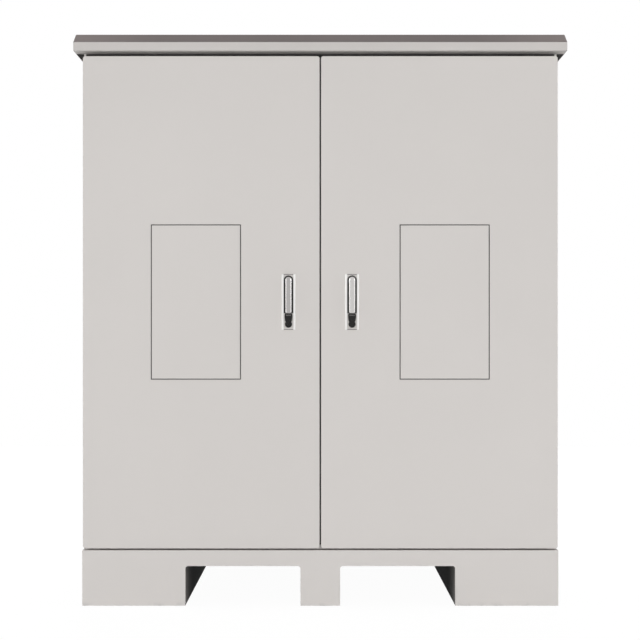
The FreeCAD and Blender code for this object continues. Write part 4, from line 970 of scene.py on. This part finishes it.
# The bars are satin all over, so their band is wider than they are.
bar_chrome = plated("bar chrome", (0.83, 0.82, 0.81), (0.83, 0.82, 0.81), 1.0, 0.0)
lever_front = -0.414
lever_low = 0.7375
slimmer = 0.94
for side, way in both_ways:
    leaf = side + "_door_leaf"
    x = way * handle_mid
    fit(handle_body(side + "_handle_casting", x), leaf, "handle_metal", casting_finish, side + "_escutcheon")
    for place, turn in (("outer", -1), ("inner", 1)):
        fit(edge_bar(side + "_handle_bar_" + place, x, turn), leaf, "handle_metal", bar_chrome)

    lever = copied_from(side + "_lever", side + "_lever_polished")
    # The lever's sides come in by half a millimetre each. The slot for its spindle keeps its width.
    pick(lever, "VERT", lambda at, facing: True)
    bpy.ops.transform.resize(value=(slimmer, 1, 1))
    pick(lever, "VERT", lambda at, facing: abs(at.x - x) < 0.0044)
    bpy.ops.transform.resize(value=(1 / slimmer, 1, 1))
    pick(lever, "EDGE", lambda at, along: at.y < lever_front + 0.0001 and at.z > lever_low + 0.001)
    bpy.ops.mesh.bevel(offset=0.0022, segments=1)
    soften(lever, 0.0003, 2)
    # The left lever's face is painted darker than the right one's, as painted shade.
    satin = (0.45, 0.435, 0.43) if side == "left" else (0.6, 0.585, 0.575)
    lever_finish = plated(side + " lever finish", satin, (0.8, 0.79, 0.78), 0.0052, x)
    fit(lever, side + "_grip", "handle_metal", lever_finish, side + "_lever")

# DUST COVERS
# A black nylon cover over each key plug, moulded with a row of grip ribs at its top.
# It turns on a pin at its lower end, and a domed rivet stands above that.
# The ribs are painted a lighter grey than the cover, as a painted highlight.
rib_highlight = moulded("rib highlight", shade(0.1, 0.095, 0.09), shade(0.26, 0.25, 0.24), 0.35)
cover_front = -0.407
cover_let_in = cover_front + 0.0005
cover_top = 0.7363
cover_neck = 0.7175
rib_ends = (0.7306, 0.7334)
rivet_z = 0.7194
for side, way in both_ways:
    x = way * handle_mid
    cover = copied_from(side + "_dust_cover", side + "_cover_plate")
    # Its top edge and the corners of its neck stand out by about a millimetre.
    for height, wider in ((cover_top, 1.2), (cover_neck, 1.22)):
        pick(cover, "VERT", lambda at, facing: abs(at.z - height) < 0.001)
        bpy.ops.transform.resize(value=(wider, 1, 1))
    soften(cover, 0.0006, 3)
    fit(cover, side + "_cover", "black_plastic", gloss_black, side + "_dust_cover")
    ribs = []
    for k in range(5):
        rib_x = x + (k - 2) * 0.0027
        y_ends = (cover_front - 0.0006, cover_let_in)
        rib = block("rib", (rib_x - 0.0008, rib_x + 0.0008), y_ends, rib_ends)
        soften(rib, 0.0004, 3)
        ribs.append(rib)
    fit(joined(side + "_cover_ribs", ribs), side + "_cover", "black_plastic", rib_highlight)
    for name, z, radius in (("rivet", rivet_z, 0.0026), ("pin_head", cover_pivot_z, 0.0034)):
        head = disc(side + "_cover_" + name, x, z, radius, (cover_front - 0.0007, cover_let_in), 24)
        pick(head, "FACE", facing_front)
        bpy.ops.mesh.inset(thickness=radius * 0.25)
        bpy.ops.transform.translate(value=(0, -0.0003, 0))
        soften(head, 0.0003, 2, 20)
        fit(head, side + "_cover", "black_plastic", gloss_black)
    dress(bar_chrome, side + "_lever_pin", side + "_key_plug")
    # The spindles get the dark breaker plastic: painted shade for the top of the lever's recess.
    dress(breaker_black, side + "_spindle")

# LOCK RODS
# Each handle's pinion draws two zinc-plated steel rods, one up and one down.
# They run in guides that are welded inside the door.
for side, _ in both_ways:
    dress(zinc_plate, side + "_upper_rod", side + "_lower_rod", side + "_rod_guides")

# STUDIO
# A pale floor and soft lamps round the object.
# The camera stands 3.6 m in front of the doors, a little below their handles.
bpy.context.scene.view_settings.view_transform = "Standard"


def seen_rays(wire, straight=1.0):
    """1 for rays that reflect or pass through something, and the given share for those from the camera."""
    from_camera = wire.add("LightPath", None, None, "Is Camera Ray")
    kinds = from_camera.socket.node.outputs
    shown = from_camera * straight
    for kind in ("Is Glossy Ray", "Is Transmission Ray"):
        shown = shown.maths("MAXIMUM", Wire(wire.tree, kinds[kind]))
    return shown


WHITE = shade(1.0, 1.0, 1.0)
ambient = 0.12
world = bpy.data.worlds.new("studio")
bpy.context.scene.world = world
world.use_nodes = True
sky = world.node_tree.nodes["Background"]
sky.inputs["Color"].default_value = WHITE
strength = seen_rays(Wire(world.node_tree)) * (1 - ambient) + ambient
world.node_tree.links.new(strength.socket, sky.inputs["Strength"])

bpy.ops.object.select_all(action="DESELECT")
bpy.ops.mesh.primitive_plane_add(size=11.0, location=(0, 0, -0.0003))
floor = bpy.context.object
floor.name = "floor"
floor_look, floor_place = new_finish("pale floor")
floor_tint = floor_place.noise(2.0).between(shade(0.8, 0.8, 0.8), shade(0.82, 0.82, 0.82))
lay_on(floor_look, {"Base Color": floor_tint, "Roughness": 0.9})
nodes = floor_look.node_tree.nodes
lit = Wire(floor_look.node_tree, nodes["Principled BSDF"].outputs[0])
glow = floor_place.add("Emission", None, {"Color": WHITE, "Strength": 1.03})
mixed = floor_place.add("MixShader", None, {0: seen_rays(floor_place, 0.94), 1: lit, 2: glow})
floor_look.node_tree.links.new(mixed.socket, nodes["Material Output"].inputs["Surface"])
floor.data.materials.append(floor_look)


def lamp(name, place, target, width, height, power):
    """A soft box that faces a point."""
    bpy.ops.object.light_add(type="AREA", location=place)
    light = bpy.context.object
    light.name = name
    light.data.shape = "RECTANGLE"
    light.data.size = width
    light.data.size_y = height
    light.data.energy = power
    light.rotation_euler = (Vector(target) - Vector(place)).to_track_quat("-Z", "Y").to_euler()
    return light


# The front lamp stands behind the camera, so polished faces would only mirror it as a white glare.
front_lamp = lamp("front_lamp", (0.0, -6.0, 0.55), (0.0, 0.0, 0.7), 4.0, 1.0, 203.0)
front_lamp.visible_glossy = False
lamp("left_lamp", (-5.0, -1.0, 2.6), (0.0, -0.2, 1.6), 5.5, 3.0, 90.0)
lamp("right_lamp", (5.0, -1.0, 2.6), (0.0, -0.2, 1.6), 5.5, 3.0, 90.0)
lamp("rear_lamp", (0.0, 5.0, 4.0), (0.0, 0.4, 1.0), 4.0, 3.0, 260.0)
lamp("top_lamp", (0.0, 0.5, 5.0), (0.0, 0.0, 0.7), 3.0, 3.0, 20.0)

bpy.ops.object.camera_add(location=(-0.0007, -4.0, 0.645), rotation=(math.radians(90), 0, 0))
camera = bpy.context.object
camera.data.lens = 80.36
camera.data.sensor_width = 36.0
camera.data.shift_y = 0.0466
bpy.context.scene.camera = camera
